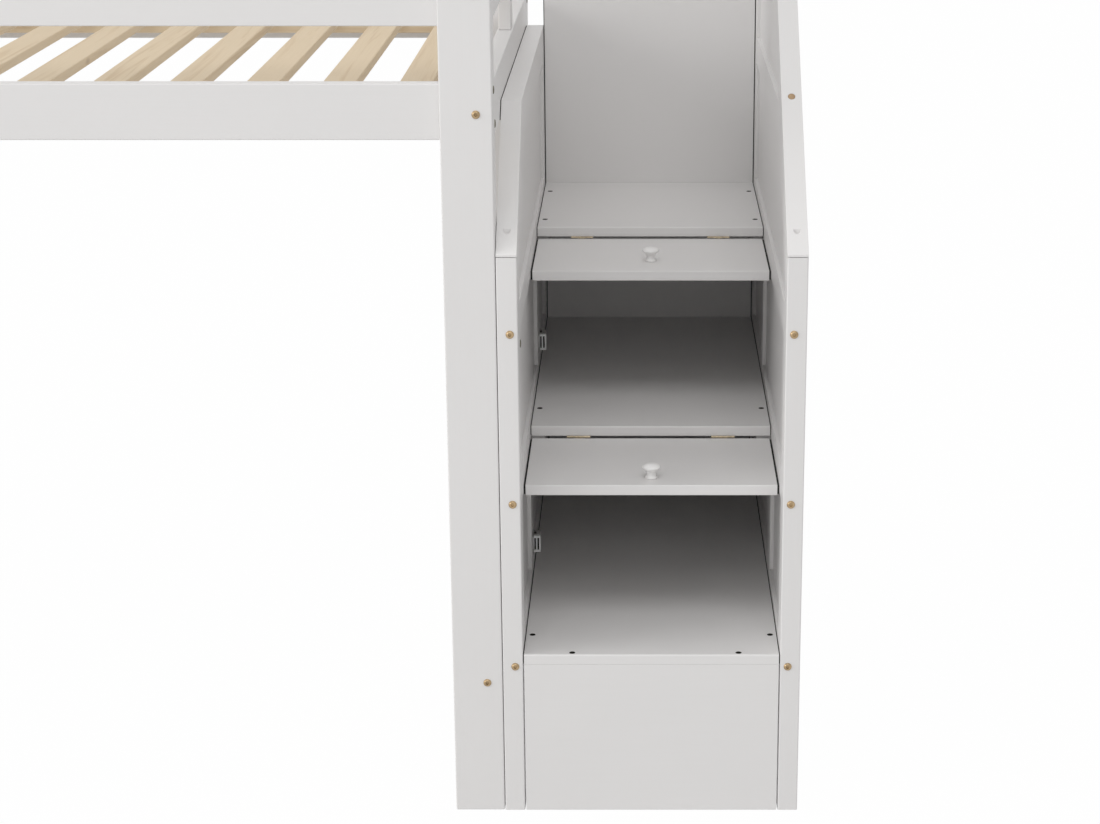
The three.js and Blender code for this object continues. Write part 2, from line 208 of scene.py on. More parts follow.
class ShaderSheet(NodeSheet):
    """A material's node tree around one Principled shader."""

    def __init__(self, name: str) -> None:
        """Starts a material that holds only a Principled shader and its output.

        Args:
            name: the material's name.
        """
        self.material = bpy.data.materials.new(name)
        self.material.use_nodes = True
        super().__init__(self.material.node_tree)
        self.shader = self.tree.nodes["Principled BSDF"]

    def place(self, stretch: Sequence[float]) -> NodeSocket:
        """Gives object coordinates scaled along each axis.

        Args:
            stretch: cycles per metre along X, Y and Z.

        Returns:
            The vector socket.
        """
        mapping = self.fill(self.add("ShaderNodeMapping"), Scale=tuple(stretch))
        self.join(self.add("ShaderNodeTexCoord").outputs["Object"], mapping.inputs["Vector"])
        return mapping.outputs["Vector"]

    def noise(
        self,
        stretch: Sequence[float],
        detail: float = 3.0,
        roughness: float = 0.5,
        distortion: float = 0.0,
    ) -> NodeSocket:
        """Adds a noise on object coordinates.

        Args:
            stretch: cycles per metre along X, Y and Z.
            detail: how many octaves it has.
            roughness: how strong the finer octaves are.
            distortion: how far the pattern is pushed about.

        Returns:
            The factor socket, from 0 to 1.
        """
        node = self.fill(
            self.add("ShaderNodeTexNoise"),
            Scale=1.0,
            Detail=detail,
            Roughness=roughness,
            Distortion=distortion,
        )
        self.join(self.place(stretch), node.inputs["Vector"])
        return node.outputs["Fac"]

    def ramp(self, factor: NodeSocket, *stops: tuple[float, Sequence[float]]) -> NodeSocket:
        """Turns a factor into a colour through a colour ramp.

        Args:
            factor: the socket that drives the ramp.
            *stops: each stop's position and colour, in order.

        Returns:
            The colour socket.
        """
        node = self.add("ShaderNodeValToRGB")
        elements = node.color_ramp.elements
        while len(elements) < len(stops):
            elements.new(0.5)
        for element, (position, colour) in zip(elements, stops):
            element.position = position
            element.color = (*colour, 1.0)
        self.join(factor, node.inputs["Fac"])
        return node.outputs["Color"]

    def blend(
        self,
        factor: NodeSocket,
        first: NodeSocket,
        second: NodeSocket | Sequence[float],
        mode: str = "MIX",
    ) -> NodeSocket:
        """Mixes two colours.

        Args:
            factor: how much of the second shows.
            first: the colour underneath.
            second: the colour on top, a socket or a plain colour.
            mode: the mix mode.

        Returns:
            The mixed colour socket.
        """
        node = self.add("ShaderNodeMix", data_type="RGBA", blend_type=mode)
        self.join(factor, node.inputs["Factor"])
        self.join(first, node.inputs["A"])
        if isinstance(second, NodeSocket):
            self.join(second, node.inputs["B"])
        else:
            node.inputs["B"].default_value = (*second, 1.0)
        return node.outputs["Result"]

    def bump(self, *layers: tuple[NodeSocket, float, float]) -> None:
        """Stacks height patterns into the shader's normal.

        Args:
            *layers: each pattern's socket, its strength and its depth in metres.
        """
        normal = None
        for height, strength, depth in layers:
            node = self.fill(self.add("ShaderNodeBump"), Strength=strength, Distance=depth)
            self.join(height, node.inputs["Height"])
            if normal is not None:
                self.join(normal, node.inputs["Normal"])
            normal = node.outputs["Normal"]
        self.join(normal, self.shader.inputs["Normal"])

    def dress(self, colour: NodeSocket, roughness: NodeSocket) -> None:
        """Joins a colour and a roughness to the shader."""
        self.join(colour, self.shader.inputs["Base Color"])
        self.join(roughness, self.shader.inputs["Roughness"])

    def whiten(self, colour: Colour, share: float) -> None:
        """Mixes a plain colour into what the camera and mirrors see of the surface.

        Args:
            colour: the plain colour.
            share: how much of what is seen is that colour.
        """
        part = self.add("ShaderNodeMath", operation="MULTIPLY")
        part.inputs[1].default_value = share
        self.join(self.seen_plainly(), part.inputs[0])
        plain = self.fill(self.add("ShaderNodeEmission"), Color=(*colour, 1.0))
        mix = self.add("ShaderNodeMixShader")
        self.join(part.outputs[0], mix.inputs["Fac"])
        self.join(self.shader.outputs["BSDF"], mix.inputs[1])
        self.join(plain.outputs["Emission"], mix.inputs[2])
        self.join(mix.outputs["Shader"], self.tree.nodes["Material Output"].inputs["Surface"])


def shaded(colour: Colour, share: float) -> Colour:
    """Returns a share of a colour's brightness."""
    return tuple(share * part for part in colour)


@dataclass(frozen=True)
class Finish:
    """A surface finish. Its material is made once, for the first piece that asks for it."""

    slot: ClassVar[str]
    made: ClassVar[dict["Finish", Material]] = {}

    def build(self) -> Material:
        """Makes the material."""
        raise NotImplementedError

    @property
    def material(self) -> Material:
        """Gives the finish's one material.

        Returns:
            The material, made at the first call.
        """
        if self not in self.made:
            self.made[self] = self.build()
        return self.made[self]


@dataclass(frozen=True)
class WhitePaint(Finish):
    """Satin white paint over wood: a little brushed along the grain, a little blotchy."""

    slot: ClassVar[str] = "white_paint"
    grain: Axis | None = None
    word: str = "white_paint"
    colour: Colour = (0.763, 0.751, 0.744)
    roughness: float = 0.42
    roughness_spread: Reach = (-0.05, 0.07)
    shine: float = 0.42
    shade: float = 0.985
    streaks: Reach = (380.0, 7.0)
    blotches: float = 5.0
    peel: float = 1100.0

    def build(self) -> Material:
        """Makes the material.

        Returns:
            The finished material.
        """
        way = self.grain.name.lower() if self.grain else "flat"
        sheet = ShaderSheet(f"{self.word}_{way}")
        blotches = sheet.noise((self.blotches,) * 3, detail=4.0)
        layers = [(sheet.noise((self.peel,) * 3, detail=1.0), 0.05, 0.0004)]
        colour = sheet.ramp(blotches, (0.3, shaded(self.colour, self.shade)), (0.7, self.colour))
        if self.grain:
            streaks = sheet.noise(self.grain.spread(self.streaks), detail=2.0)
            thread = sheet.ramp(streaks, (0.25, (0.991, 0.990, 0.988)), (0.6, (1.0, 1.0, 1.0)))
            colour = sheet.blend(sheet.span(blotches, 0.5, 1.0), colour, thread, "MULTIPLY")
            layers.append((streaks, 0.04, 0.0003))
        rough = [self.roughness + step for step in self.roughness_spread]
        sheet.dress(colour, sheet.span(blotches, *rough))
        sheet.bump(*layers)
        sheet.fill(sheet.shader, Specular_IOR_Level=self.shine)
        return sheet.material


@dataclass(frozen=True)
class BarePine(Finish):
    """Planed pine with no paint: pale, with long grain and a knot here and there."""

    slot: ClassVar[str] = "pine"
    grain: Axis
    pale: Colour = (0.76, 0.62, 0.435)
    deep: Colour = (0.68, 0.53, 0.35)
    knot: Colour = (0.27, 0.15, 0.075)
    bands: Reach = (46.0, 1.6)
    threads: Reach = (900.0, 14.0)
    knots: Reach = (6.3, 2.1)
    knot_edge: Reach = (0.075, 0.035)
    roughness: Reach = (0.52, 0.68)

    def build(self) -> Material:
        """Makes the material.

        Returns:
            The finished material.
        """
        sheet = ShaderSheet(f"bare_pine_{self.grain.name.lower()}")
        broad = sheet.noise(self.grain.spread(self.bands), roughness=0.55, distortion=1.3)
        fine = sheet.noise(self.grain.spread(self.threads), detail=2.0)
        colour = sheet.ramp(broad, (0.36, self.pale), (0.52, self.pale), (0.66, self.deep))
        thread = sheet.ramp(fine, (0.3, (0.95, 0.94, 0.92)), (0.6, (1.0, 1.0, 1.0)))
        colour = sheet.blend(sheet.span(fine, 0.7, 0.9), colour, thread, "MULTIPLY")
        cells = sheet.fill(sheet.add("ShaderNodeTexVoronoi"), Scale=1.0)
        sheet.join(sheet.place(self.grain.spread(self.knots)), cells.inputs["Vector"])
        spot = sheet.add("ShaderNodeMapRange", interpolation_type="SMOOTHSTEP")
        sheet.fill(spot, From_Min=self.knot_edge[0], From_Max=self.knot_edge[1])
        sheet.join(cells.outputs["Distance"], spot.inputs["Value"])
        colour = sheet.blend(spot.outputs["Result"], colour, self.knot)
        sheet.dress(colour, sheet.span(broad, *self.roughness))
        sheet.bump((broad, 0.10, 0.0006), (fine, 0.16, 0.0003))
        return sheet.material


@dataclass(frozen=True)
class PlatedBrass(Finish):
    """Dull plate on metal, brushed and a little stained."""

    slot: ClassVar[str] = "hinge_brass"
    name: str
    colour: Colour
    roughness: float = 0.34
    metal: float = 1.0
    shine: float = 0.5
    roughness_spread: Reach = (0.14, -0.06)
    shade: float = 0.72
    stains: float = 160.0
    brushing: Triple = (60.0, 2600.0, 2600.0)

    def build(self) -> Material:
        """Makes the material.

        Returns:
            The finished material.
        """
        sheet = ShaderSheet(self.name)
        stain = sheet.noise((self.stains,) * 3, detail=4.0)
        brush = sheet.noise(self.brushing, detail=1.0)
        colour = sheet.ramp(stain, (0.35, shaded(self.colour, self.shade)), (0.62, self.colour))
        rough = [self.roughness + step for step in self.roughness_spread]
        sheet.dress(colour, sheet.span(stain, *rough))
        sheet.bump((brush, 0.10, 0.0001), (stain, 0.06, 0.0001))
        sheet.fill(sheet.shader, Metallic=self.metal, Specular_IOR_Level=self.shine)
        return sheet.material


@dataclass(frozen=True)
class MouldedPlastic(Finish):
    """Moulded plastic with a fine grain; also the near-black of the painted shade strips."""

    slot: ClassVar[str] = "catch_plastic"
    name: str
    colour: Colour
    roughness: float
    roughness_spread: float = 0.1
    shade: float = 0.955
    grains: float = 2400.0
    clouds: float = 60.0

    def build(self) -> Material:
        """Makes the material.

        Returns:
            The finished material.
        """
        sheet = ShaderSheet(self.name)
        grain = sheet.noise((self.grains,) * 3, detail=2.0)
        cloud = sheet.noise((self.clouds,) * 3, detail=2.0)
        colour = sheet.ramp(cloud, (0.35, shaded(self.colour, self.shade)), (0.65, self.colour))
        rough = self.roughness + self.roughness_spread
        sheet.dress(colour, sheet.span(grain, self.roughness, rough))
        sheet.bump((grain, 0.12, 0.0001))
        return sheet.material


# Painted light: the knobs' white is brighter than the boards' paint, standing in for the frontal
# light that the knobs catch; the lower roughness is the knobs' own gloss.
LIT_KNOB_PAINT = WhitePaint(None, "gloss_paint_with_painted_light", (0.86, 0.85, 0.84), 0.28)
PLUG_WOOD = BarePine(Axis.Z, (0.44, 0.30, 0.175), (0.38, 0.25, 0.14))
BOLT_BRASS = PlatedBrass("bolt_brass", (0.52, 0.38, 0.225), 0.34)
# Painted shade: a darker, rougher brass for discs in the bolts' socket bottoms, standing in for
# the shade deep in the hex sockets.
SOCKET_SHADE_BRASS = PlatedBrass("socket_brass", (0.46, 0.33, 0.19), 0.45)
# Painted shade: a darker copy of the bolt brass for the bolts in side faces, standing in for the
# shade that those faces get.
SHADED_SIDE_BRASS = PlatedBrass("shaded_side_brass", (0.22, 0.205, 0.16), 0.5)
HINGE_BRASS = PlatedBrass("hinge_brass", (0.50, 0.42, 0.30), 0.38)
# Near-black matte head: partly the screws' own dark heads, partly painted shade standing in for
# the shade in their bores.
SCREW_SHADE_BLACK = PlatedBrass("screw_shade_black", (0.02, 0.018, 0.014), 0.75, 0.0, 0.15)
# Painted shade: near-black inserts in the catch's slots, standing in for the shade deep in the
# slots.
SLOT_SHADE_BLACK = PlatedBrass("slot_shade_black", (0.035, 0.033, 0.03), 0.5)
DULL_STEEL = PlatedBrass("dull_steel", (0.24, 0.23, 0.22), 0.5)
WHITE_PLASTIC = MouldedPlastic("white_plastic", (0.97, 0.97, 0.965), 0.28)
# Painted shade: near-black strips put in narrow gaps, standing in for the shade deep in those
# gaps.
GAP_SHADE_BLACK = MouldedPlastic("gap_shade_black", (0.012, 0.012, 0.012), 0.8)


@dataclass(frozen=True)
class Nose:
    """A rounded long edge of a board along X, named by the signs of its Y and Z sides."""

    y: int
    z: int
    radius: float


@dataclass(frozen=True)
class Socket:
    """The recess that a driver fits in. A waist under its reach makes it a cross."""

    corners: int
    reach: float
    depth: float
    waist: float = 1.0


@dataclass(frozen=True)
class Bore:
    """A round blind hole: its rod of a cutter stands on both sides of the surface."""

    place: Matrix
    radius: float
    depth: float
    above: float = 0.004

    def cut(self, shape: BMesh) -> None:
        """Adds the hole's cutter to a shape.

        Args:
            shape: the shape that collects the cutters.
        """
        middle = Matrix.Translation((0.0, 0.0, (self.above - self.depth) / 2))
        bmesh.ops.create_cone(
            shape,
            cap_ends=True,
            segments=BORE_SIDES,
            radius1=self.radius,
            radius2=self.radius,
            depth=self.above + self.depth,
            matrix=self.place @ middle,
        )


@dataclass(frozen=True)
class Slot:
    """A rectangular recess between two corners, which stand outside the surface it opens in."""

    low: Corner
    high: Corner

    def cut(self, shape: BMesh) -> None:
        """Adds the recess's cutter to a shape."""
        bmesh.ops.create_cube(shape, size=1.0, matrix=box_place(self.low, self.high))


def box_place(low: Corner, high: Corner) -> Matrix:
    """Returns the matrix that takes a unit cube to the box between two corners."""
    low, high = Vector(low), Vector(high)
    return Matrix.Translation((low + high) / 2) @ Matrix.Diagonal((*(high - low), 1.0))


def drilled(mesh: Mesh, bores: Sequence[Bore | Slot]) -> Mesh:
    """Cuts holes in a mesh.

    Args:
        mesh: the uncut mesh, which is used up.
        bores: the holes and recesses.

    Returns:
        The drilled mesh under the same name.
    """
    shape = bmesh.new()
    for bore in bores:
        bore.cut(shape)
    cutter_mesh = bpy.data.meshes.new("drill")
    shape.to_mesh(cutter_mesh)
    shape.free()
    cutter = bpy.data.objects.new("drill", cutter_mesh)
    blank = bpy.data.objects.new("blank", mesh)
    for item in (cutter, blank):
        bpy.context.scene.collection.objects.link(item)
    holes = blank.modifiers.new("holes", "BOOLEAN")
    holes.operation, holes.solver, holes.object = "DIFFERENCE", "EXACT", cutter
    ready = blank.evaluated_get(bpy.context.evaluated_depsgraph_get())
    result = bpy.data.meshes.new_from_object(ready)
    name = mesh.name
    for item in (cutter, blank):
        bpy.data.objects.remove(item)
    for used in (cutter_mesh, mesh):
        bpy.data.meshes.remove(used)
    result.name = name
    return result


class Workpiece:
    """A mesh that Blender's mesh operators shape, on its way to becoming a piece."""

    def __init__(self, name: str) -> None:
        """Starts an empty workpiece under the finished piece's name."""
        self.name = name
        self.shape = bmesh.new()

    def since(self, before: set[BMVert]) -> list[BMVert]:
        """Returns the vertices that aren't among those noted before."""
        return [vert for vert in self.shape.verts if vert not in before]

    def soften(
        self, verts: Iterable[BMVert], radius: float, steps: int, bend: float = ROUNDED_ABOVE
    ) -> None:
        """Rounds every edge among some vertices that turns by more than an angle.

        Args:
            verts: the vertices whose edges are rounded.
            radius: the rounding, in metres.
            steps: segments in the rounding.
            bend: the least turn in degrees of an edge that is rounded.
        """
        edges = dict.fromkeys(edge for vert in verts for edge in vert.link_edges)
        sharp = [
            edge
            for edge in edges
            if len(edge.link_faces) == 2 and edge.calc_face_angle(0.0) > math.radians(bend)
        ]
        self.round_edges(sharp, radius, steps)

    def round_edges(
        self, edges: Sequence[BMEdge], radius: float, steps: int = BEVEL_STEPS
    ) -> None:
        """Rounds some edges.

        Args:
            edges: the edges.
            radius: the rounding, in metres; 0 leaves them sharp.
            steps: segments in the rounding.
        """
        if radius <= 0:
            return
        bmesh.ops.bevel(
            self.shape,
            geom=edges,
            offset=radius,
            offset_type="OFFSET",
            affect="EDGES",
            segments=steps,
            profile=0.5,
            material=-1,
            clamp_overlap=True,
        )

    def face_out(self, verts: Iterable[BMVert]) -> None:
        """Points the faces of some vertices outwards."""
        faces = dict.fromkeys(face for vert in verts for face in vert.link_faces)
        bmesh.ops.recalc_face_normals(self.shape, faces=list(faces))

    def pull(self, faces: Sequence[BMFace], shift: Sequence[float]) -> list[BMVert]:
        """Extrudes faces.

        Args:
            faces: the faces.
            shift: how far and which way their copies go.

        Returns:
            The new vertices.
        """
        grown = bmesh.ops.extrude_face_region(self.shape, geom=faces)["geom"]
        moved = [item for item in grown if isinstance(item, BMVert)]
        bmesh.ops.translate(self.shape, verts=moved, vec=shift)
        return moved

    @staticmethod
    def ring_edges(verts: Sequence[BMVert]) -> list[BMEdge]:
        """Finds the edges that join some vertices to each other.

        Args:
            verts: the vertices.

        Returns:
            Their edges.
        """
        chosen = set(verts)
        found = dict.fromkeys(edge for vert in verts for edge in vert.link_edges)
        return [edge for edge in found if set(edge.verts) <= chosen]

    def block(
        self,
        low: Corner,
        high: Corner,
        radius: float = CRISP_RADIUS,
        steps: int = BEVEL_STEPS,
    ) -> None:
        """Adds a rectangular board with rounded edges.

        Args:
            low: its lowest corner.
            high: its highest corner.
            radius: the edges' rounding.
            steps: segments in the rounding.
        """
        made = bmesh.ops.create_cube(self.shape, size=1.0, matrix=box_place(low, high))
        self.soften(made["verts"], radius, steps)

    def nosed_board(self, low: Corner, high: Corner, noses: Sequence[Nose]) -> None:
        """Makes a board along X whose long edges have roundings of their own.

        Args:
            low: its lowest corner.
            high: its highest corner.
            noses: the long edges with a larger rounding; the others stay crisp.
        """
        self.block(low, high, 0.0)
        middle = (Vector(low) + Vector(high)) / 2
        for nose in noses:
            ends = [
                vert
                for vert in self.shape.verts
                if (vert.co.y - middle.y) * nose.y > 0 and (vert.co.z - middle.z) * nose.z > 0
            ]
            self.round_edges(self.ring_edges(ends), nose.radius)
        self.soften(self.shape.verts, CRISP_RADIUS, 2, SQUARE_ABOVE)

    def upright(self, low: Corner, high: Corner, radius: float) -> None:
        """Makes an upright post: its long edges rounded, its ends crisp.

        Args:
            low: its lowest corner.
            high: its highest corner.
            radius: the long edges' rounding.
        """
        self.block(low, high, 0.0)
        ends = [(edge, *(vert.co.z for vert in edge.verts)) for edge in self.shape.edges]
        self.round_edges([edge for edge, foot, head in ends if foot != head], radius)
        self.soften(self.shape.verts, END_RADIUS, 1, SQUARE_ABOVE)

    def slab(self, outline: Outline, x: Reach, radius: float) -> None:
        """Adds a board sawn to an outline in the (Y, Z) plane.

        Args:
            outline: the corners, in order, each (y, z).
            x: where its two faces stand.
            radius: the edges' rounding.
        """
        verts = [self.shape.verts.new((x[0], y, z)) for y, z in outline]
        verts += self.pull([self.shape.faces.new(verts)], (x[1] - x[0], 0.0, 0.0))
        self.face_out(verts)
        self.soften(verts, radius, BEVEL_STEPS)

    def turn(self, profile: Profile, place: Matrix, steps: int) -> None:
        """Adds a turned shape from a profile, spun about its own Z axis.

        Args:
            profile: (radius, height) points from one end to the other.
            place: where the shape's own axes go.
            steps: sides of the shape.
        """
        before = set(self.shape.verts)
        verts = [self.shape.verts.new((radius, 0.0, height)) for radius, height in profile]
        edges = [self.shape.edges.new(pair) for pair in zip(verts, verts[1:])]
        bmesh.ops.spin(
            self.shape,
            geom=verts + edges,
            cent=(0.0, 0.0, 0.0),
            axis=(0.0, 0.0, 1.0),
            dvec=(0.0, 0.0, 0.0),
            angle=2.0 * math.pi,
            steps=steps,
            use_merge=True,
            use_duplicate=False,
        )
        bmesh.ops.remove_doubles(self.shape, verts=self.since(before), dist=WELD)
        self.set_down(self.since(before), place)

    def set_down(self, verts: Sequence[BMVert], place: Matrix) -> None:
        """Points some vertices' faces outwards and moves them to their place."""
        self.face_out(verts)
        bmesh.ops.transform(self.shape, matrix=place, verts=verts)

    def ring(self, sides: int, radius: float, height: float) -> list[BMVert]:
        """Adds a level ring of edges about the Z axis.

        Args:
            sides: its corners.
            radius: its radius.
            height: its height.

        Returns:
            Its vertices.
        """
        return bmesh.ops.create_circle(
            self.shape,
            cap_ends=False,
            segments=sides,
            radius=radius,
            matrix=Matrix.Translation((0.0, 0.0, height)),
        )["verts"]

    def sunk_head(self, rim: Profile, socket: Socket, place: Matrix) -> None:
        """Adds a fastener's head: a turned rim, with a driver's socket sunk in its top.

        Args:
            rim: (radius, height) points from the underside out and up to the socket's ring.
            socket: the recess in the middle.
            place: where the head's own axes go, +Z out of the wood.
        """
        before = set(self.shape.verts)
        rings = [self.ring_edges(self.ring(HEAD_SIDES, *step)) for step in rim]
        inner = self.ring(socket.corners, socket.reach, rim[-1][1])
        if socket.waist < socket.reach:
            for vert in inner[1::2]:
                vert.co.xy *= socket.waist / socket.reach
        rings.append(self.ring_edges(inner))
        for lower, upper in zip(rings, rings[1:]):
            bmesh.ops.bridge_loops(self.shape, edges=lower + upper)
        floor = bmesh.ops.edgeloop_fill(self.shape, edges=rings[-1])["faces"]
        self.pull(floor, (0.0, 0.0, -socket.depth))
        bmesh.ops.delete(self.shape, geom=floor, context="FACES_ONLY")
        bmesh.ops.edgeloop_fill(self.shape, edges=rings[0])
        self.set_down(self.since(before), place)

    def deliver(
        self,
        finish: Finish,
        replaces: Sequence[str] = (),
        body: str = FRAME_BODY,
        sharp: float = SHARP_ABOVE,
        bores: Sequence[Bore | Slot] = (),
    ) -> None:
        """Turns the workpiece into a shown piece that rides on a body.

        Args:
            finish: its finish.
            replaces: nodes that it stands for.
            body: the body that it moves with.
            sharp: the angle in degrees past which an edge stays sharp.
            bores: holes and recesses that are cut in it.
        """
        mesh = bpy.data.meshes.new(self.name)
        self.shape.to_mesh(mesh)
        self.shape.free()
        if bores:
            mesh = drilled(mesh, bores)
        mesh.polygons.foreach_set("use_smooth", [True] * len(mesh.polygons))
        mesh.set_sharp_from_angle(angle=math.radians(sharp))
        mesh.materials.append(finish.material)
        piece = bpy.data.objects.new(self.name, mesh)
        bpy.context.scene.collection.objects.link(piece)
        even = piece.modifiers.new("even_normals", "WEIGHTED_NORMAL")
        even.keep_sharp = True
        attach(piece, body)
        if replaces:
            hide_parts(*replaces)
        LOG.info("%s: %d faces on %s", self.name, len(mesh.polygons), body)


HEX_SOCKET = Socket(corners=6, reach=0.0027, depth=0.0020)
CROSS_SOCKET = Socket(corners=8, reach=0.0027, depth=0.0014, waist=0.0009)
SMALL_CROSS = Socket(corners=8, reach=0.0014, depth=0.0006, waist=0.0005)
BOLT_RIM = (
    (0.0059, -0.0012),
    (0.0059, 0.0006),
    (0.0055, 0.0010),
    (0.0050, 0.0010),
    (0.0046, 0.0017),
    (0.0039, 0.0022),
    (0.0032, 0.0023),
)
SIDE_BOLT_RIM = (
    (0.0059, -0.0012),
    (0.0059, 0.0004),
    (0.0055, 0.0008),
    (0.0046, 0.0011),
    (0.0039, 0.0013),
    (0.0032, 0.0013),
)
# Disc of painted shade in the bottom of a bolt's hex socket.
SOCKET_SHADE_DISC = ((0.0, 0.0001), (0.0022, 0.0001), (0.0023, 0.0008), (0.0, 0.0012))
SCREW_RIM = ((0.0022, -0.0032), (0.0045, -0.0006), (0.0045, 0.0001), (0.0042, 0.0003))
SMALL_SCREW_RIM = ((0.0014, -0.0010), (0.0019, 0.0002), (0.0017, 0.0007))
HINGE_SCREW_RIM = ((0.0012, 0.0), (0.0024, 0.0002), (0.0021, 0.0007))
PLUG_PROFILE = ((0.0, -0.004), (0.0052, -0.004), (0.0052, -0.0003), (0.0049, 0.0), (0.0, 0.0001))
SCREW_BORE_RADIUS = 0.0046
SCREW_BORE_DEPTH = 0.0038
PLUG_BORE_RADIUS = 0.0056
PLUG_BORE_DEPTH = 0.006
SLOPE_HOLE_DEPTH = 0.0004
SLOPE_HOLE_ABOVE = 0.012


@dataclass
class FastenerRow:
    """A group of like fasteners that one piece holds."""

    name: str
    rim: Profile
    socket: Socket | None
    finish: Finish
    spots: list[tuple[Vector, Matrix]] = field(default_factory=list)

    def drive(self, point: Vector, way: Matrix) -> None:
        """Notes a fastener whose head sits at a point and faces along a turn's +Z."""
        self.spots.append((point, way))

    def deliver(self) -> None:
        """Makes the piece."""
        work = Workpiece(self.name)
        for point, way in self.spots:
            place = Matrix.Translation(point) @ way
            if self.socket:
                work.sunk_head(self.rim, self.socket, place)
            else:
                work.turn(self.rim, place, HEAD_SIDES)
        work.deliver(self.finish)

    def deliver_bolts(self) -> None:
        """Makes the piece and, as a second piece, darker discs in the bottoms of its sockets:
        painted shade for the sockets' depths.
        """
        self.deliver()
        name = f"{self.name}_socket_floors"
        FastenerRow(name, SOCKET_SHADE_DISC, None, SOCKET_SHADE_BRASS, self.spots).deliver()


@dataclass
class Bed:
    """The post-and-rail bed with its slatted deck and guard boards."""

    boards: tuple[tuple[Finish, float, tuple[str, ...]], ...] = (
        (
            WhitePaint(Axis.Z),
            POST_RADIUS,
            ("front_left_post", "front_right_post", "rear_left_post", "rear_right_post"),
        ),
        (
            WhitePaint(Axis.X),
            BOARD_RADIUS,
            (
                "front_side_rail",
                "rear_side_rail",
                "front_guard_lower",
                "front_guard_upper",
                "rear_guard_lower",
                "rear_guard_upper",
            ),
        ),
        (
            WhitePaint(Axis.Y),
            BOARD_RADIUS,
            (
                "left_end_rail",
                "right_end_rail",
                "left_end_stretcher",
                "right_end_stretcher",
                "left_guard_lower",
                "left_guard_upper",
            ),
        ),
        (BarePine(Axis.X), SLAT_RADIUS, ("front_slat_ledge", "rear_slat_ledge")),
    )
    guard_stile: float = 0.057
    rail_bolt_rise: float = 0.0386
    post_bolt_insets: tuple[tuple[str, float, float], ...] = (
        ("left", -1.0, 0.0242),
        ("right", 1.0, 0.0508),
    )
    side_bolts: tuple[Reach, ...] = ((0.033, 0.068), (0.053, 0.017))
    guard_bolt_inset: float = 0.0285
    slat_screw_inset: float = 0.014
    slat_screw_rise: float = 0.0001

    def board(self, node: str, radius: float, finish: Finish) -> None:
        """Replaces a node by a board of the same size with all its edges rounded.

        Args:
            node: the node.
            radius: the edges' rounding.
            finish: the board's finish.
        """
        work = Workpiece(f"finished_{node}")
        work.block(*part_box(node), radius=radius)
        work.deliver(finish, [node])

    def build(self) -> None:
        """Makes every piece of the bed."""
        for finish, radius, nodes in self.boards:
            for node in nodes:
                self.board(node, radius, finish)
        slats = sorted(name for name in frame["nodes"] if name.startswith("slat_"))
        for node in slats:
            self.board(node, SLAT_RADIUS, BarePine(Axis.Y))
        self.build_access_guard()
        self.build_bolts()
        self.build_slat_screws(slats)

    def build_access_guard(self) -> None:
        """Makes the guard beside the stair from its two boards and its end stile."""
        node = "access_guard_frame"
        low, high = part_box(node)
        board_low, board_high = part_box("left_guard_lower")
        height = board_high.z - board_low.z
        front = high.y - self.guard_stile
        boards = Workpiece("access_guard_boards")
        for foot in (board_low.z, high.z - height):
            boards.block((low.x, low.y, foot), (high.x, front, foot + height), BOARD_RADIUS)
        boards.deliver(WhitePaint(Axis.Y), [node])
        stile = Workpiece("access_guard_stile")
        stile.block((low.x, front, low.z), high, BOARD_RADIUS)
        stile.deliver(WhitePaint(Axis.Z), [node])

    @staticmethod
    def middle_height(node: str) -> float:
        """Returns the height of a node's middle."""
        low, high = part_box(node)
        return (low.z + high.z) / 2

    def build_bolts(self) -> None:
        """Makes the bolt heads in the posts' outer faces."""
        ends = FastenerRow("bed_bolts", BOLT_RIM, HEX_SOCKET, BOLT_BRASS)
        sides = FastenerRow("bed_side_bolts", SIDE_BOLT_RIM, HEX_SOCKET, SHADED_SIDE_BRASS)
        rail_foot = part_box("front_side_rail")[0].z
        rail_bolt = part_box("left_end_rail")[0].z + self.rail_bolt_rise
        heights = [rail_bolt, self.middle_height("left_end_stretcher")]
        guards = [self.middle_height(f"left_guard_{which}") for which in ("lower", "upper")]
        side_spots = [(inset, rail_foot + rise) for inset, rise in self.side_bolts]
        side_spots += [(self.guard_bolt_inset, z) for z in guards]
        for side, sign, inset in self.post_bolt_insets:
            for place, out in (("front", -1.0), ("rear", 1.0)):
                low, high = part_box(f"{place}_{side}_post")
                x = high.x if side == "right" else low.x
                y = high.y if place == "rear" else low.y
                behind_stair = side == "right" and place == "rear"
                for z in heights if behind_stair else heights + guards:
                    ends.drive(Vector((low.x + inset, y, z)), Axis.Y.turn(out))
                for depth, z in side_spots:
                    sides.drive(Vector((x, y - out * depth, z)), Axis.X.turn(sign))
        ends.deliver_bolts()
        sides.deliver_bolts()

    def build_slat_screws(self, slats: Sequence[str]) -> None:
        """Makes a screw at each end of each slat.

        Args:
            slats: the slats' node names.
        """
        row = FastenerRow("slat_screws", SCREW_RIM, CROSS_SOCKET, SCREW_SHADE_BLACK)
        for node in slats:
            low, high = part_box(node)
            x, z = (low.x + high.x) / 2, high.z + self.slat_screw_rise
            for y in (low.y + self.slat_screw_inset, high.y - self.slat_screw_inset):
                row.drive(Vector((x, y, z)), Axis.Z.turn())
        row.deliver()


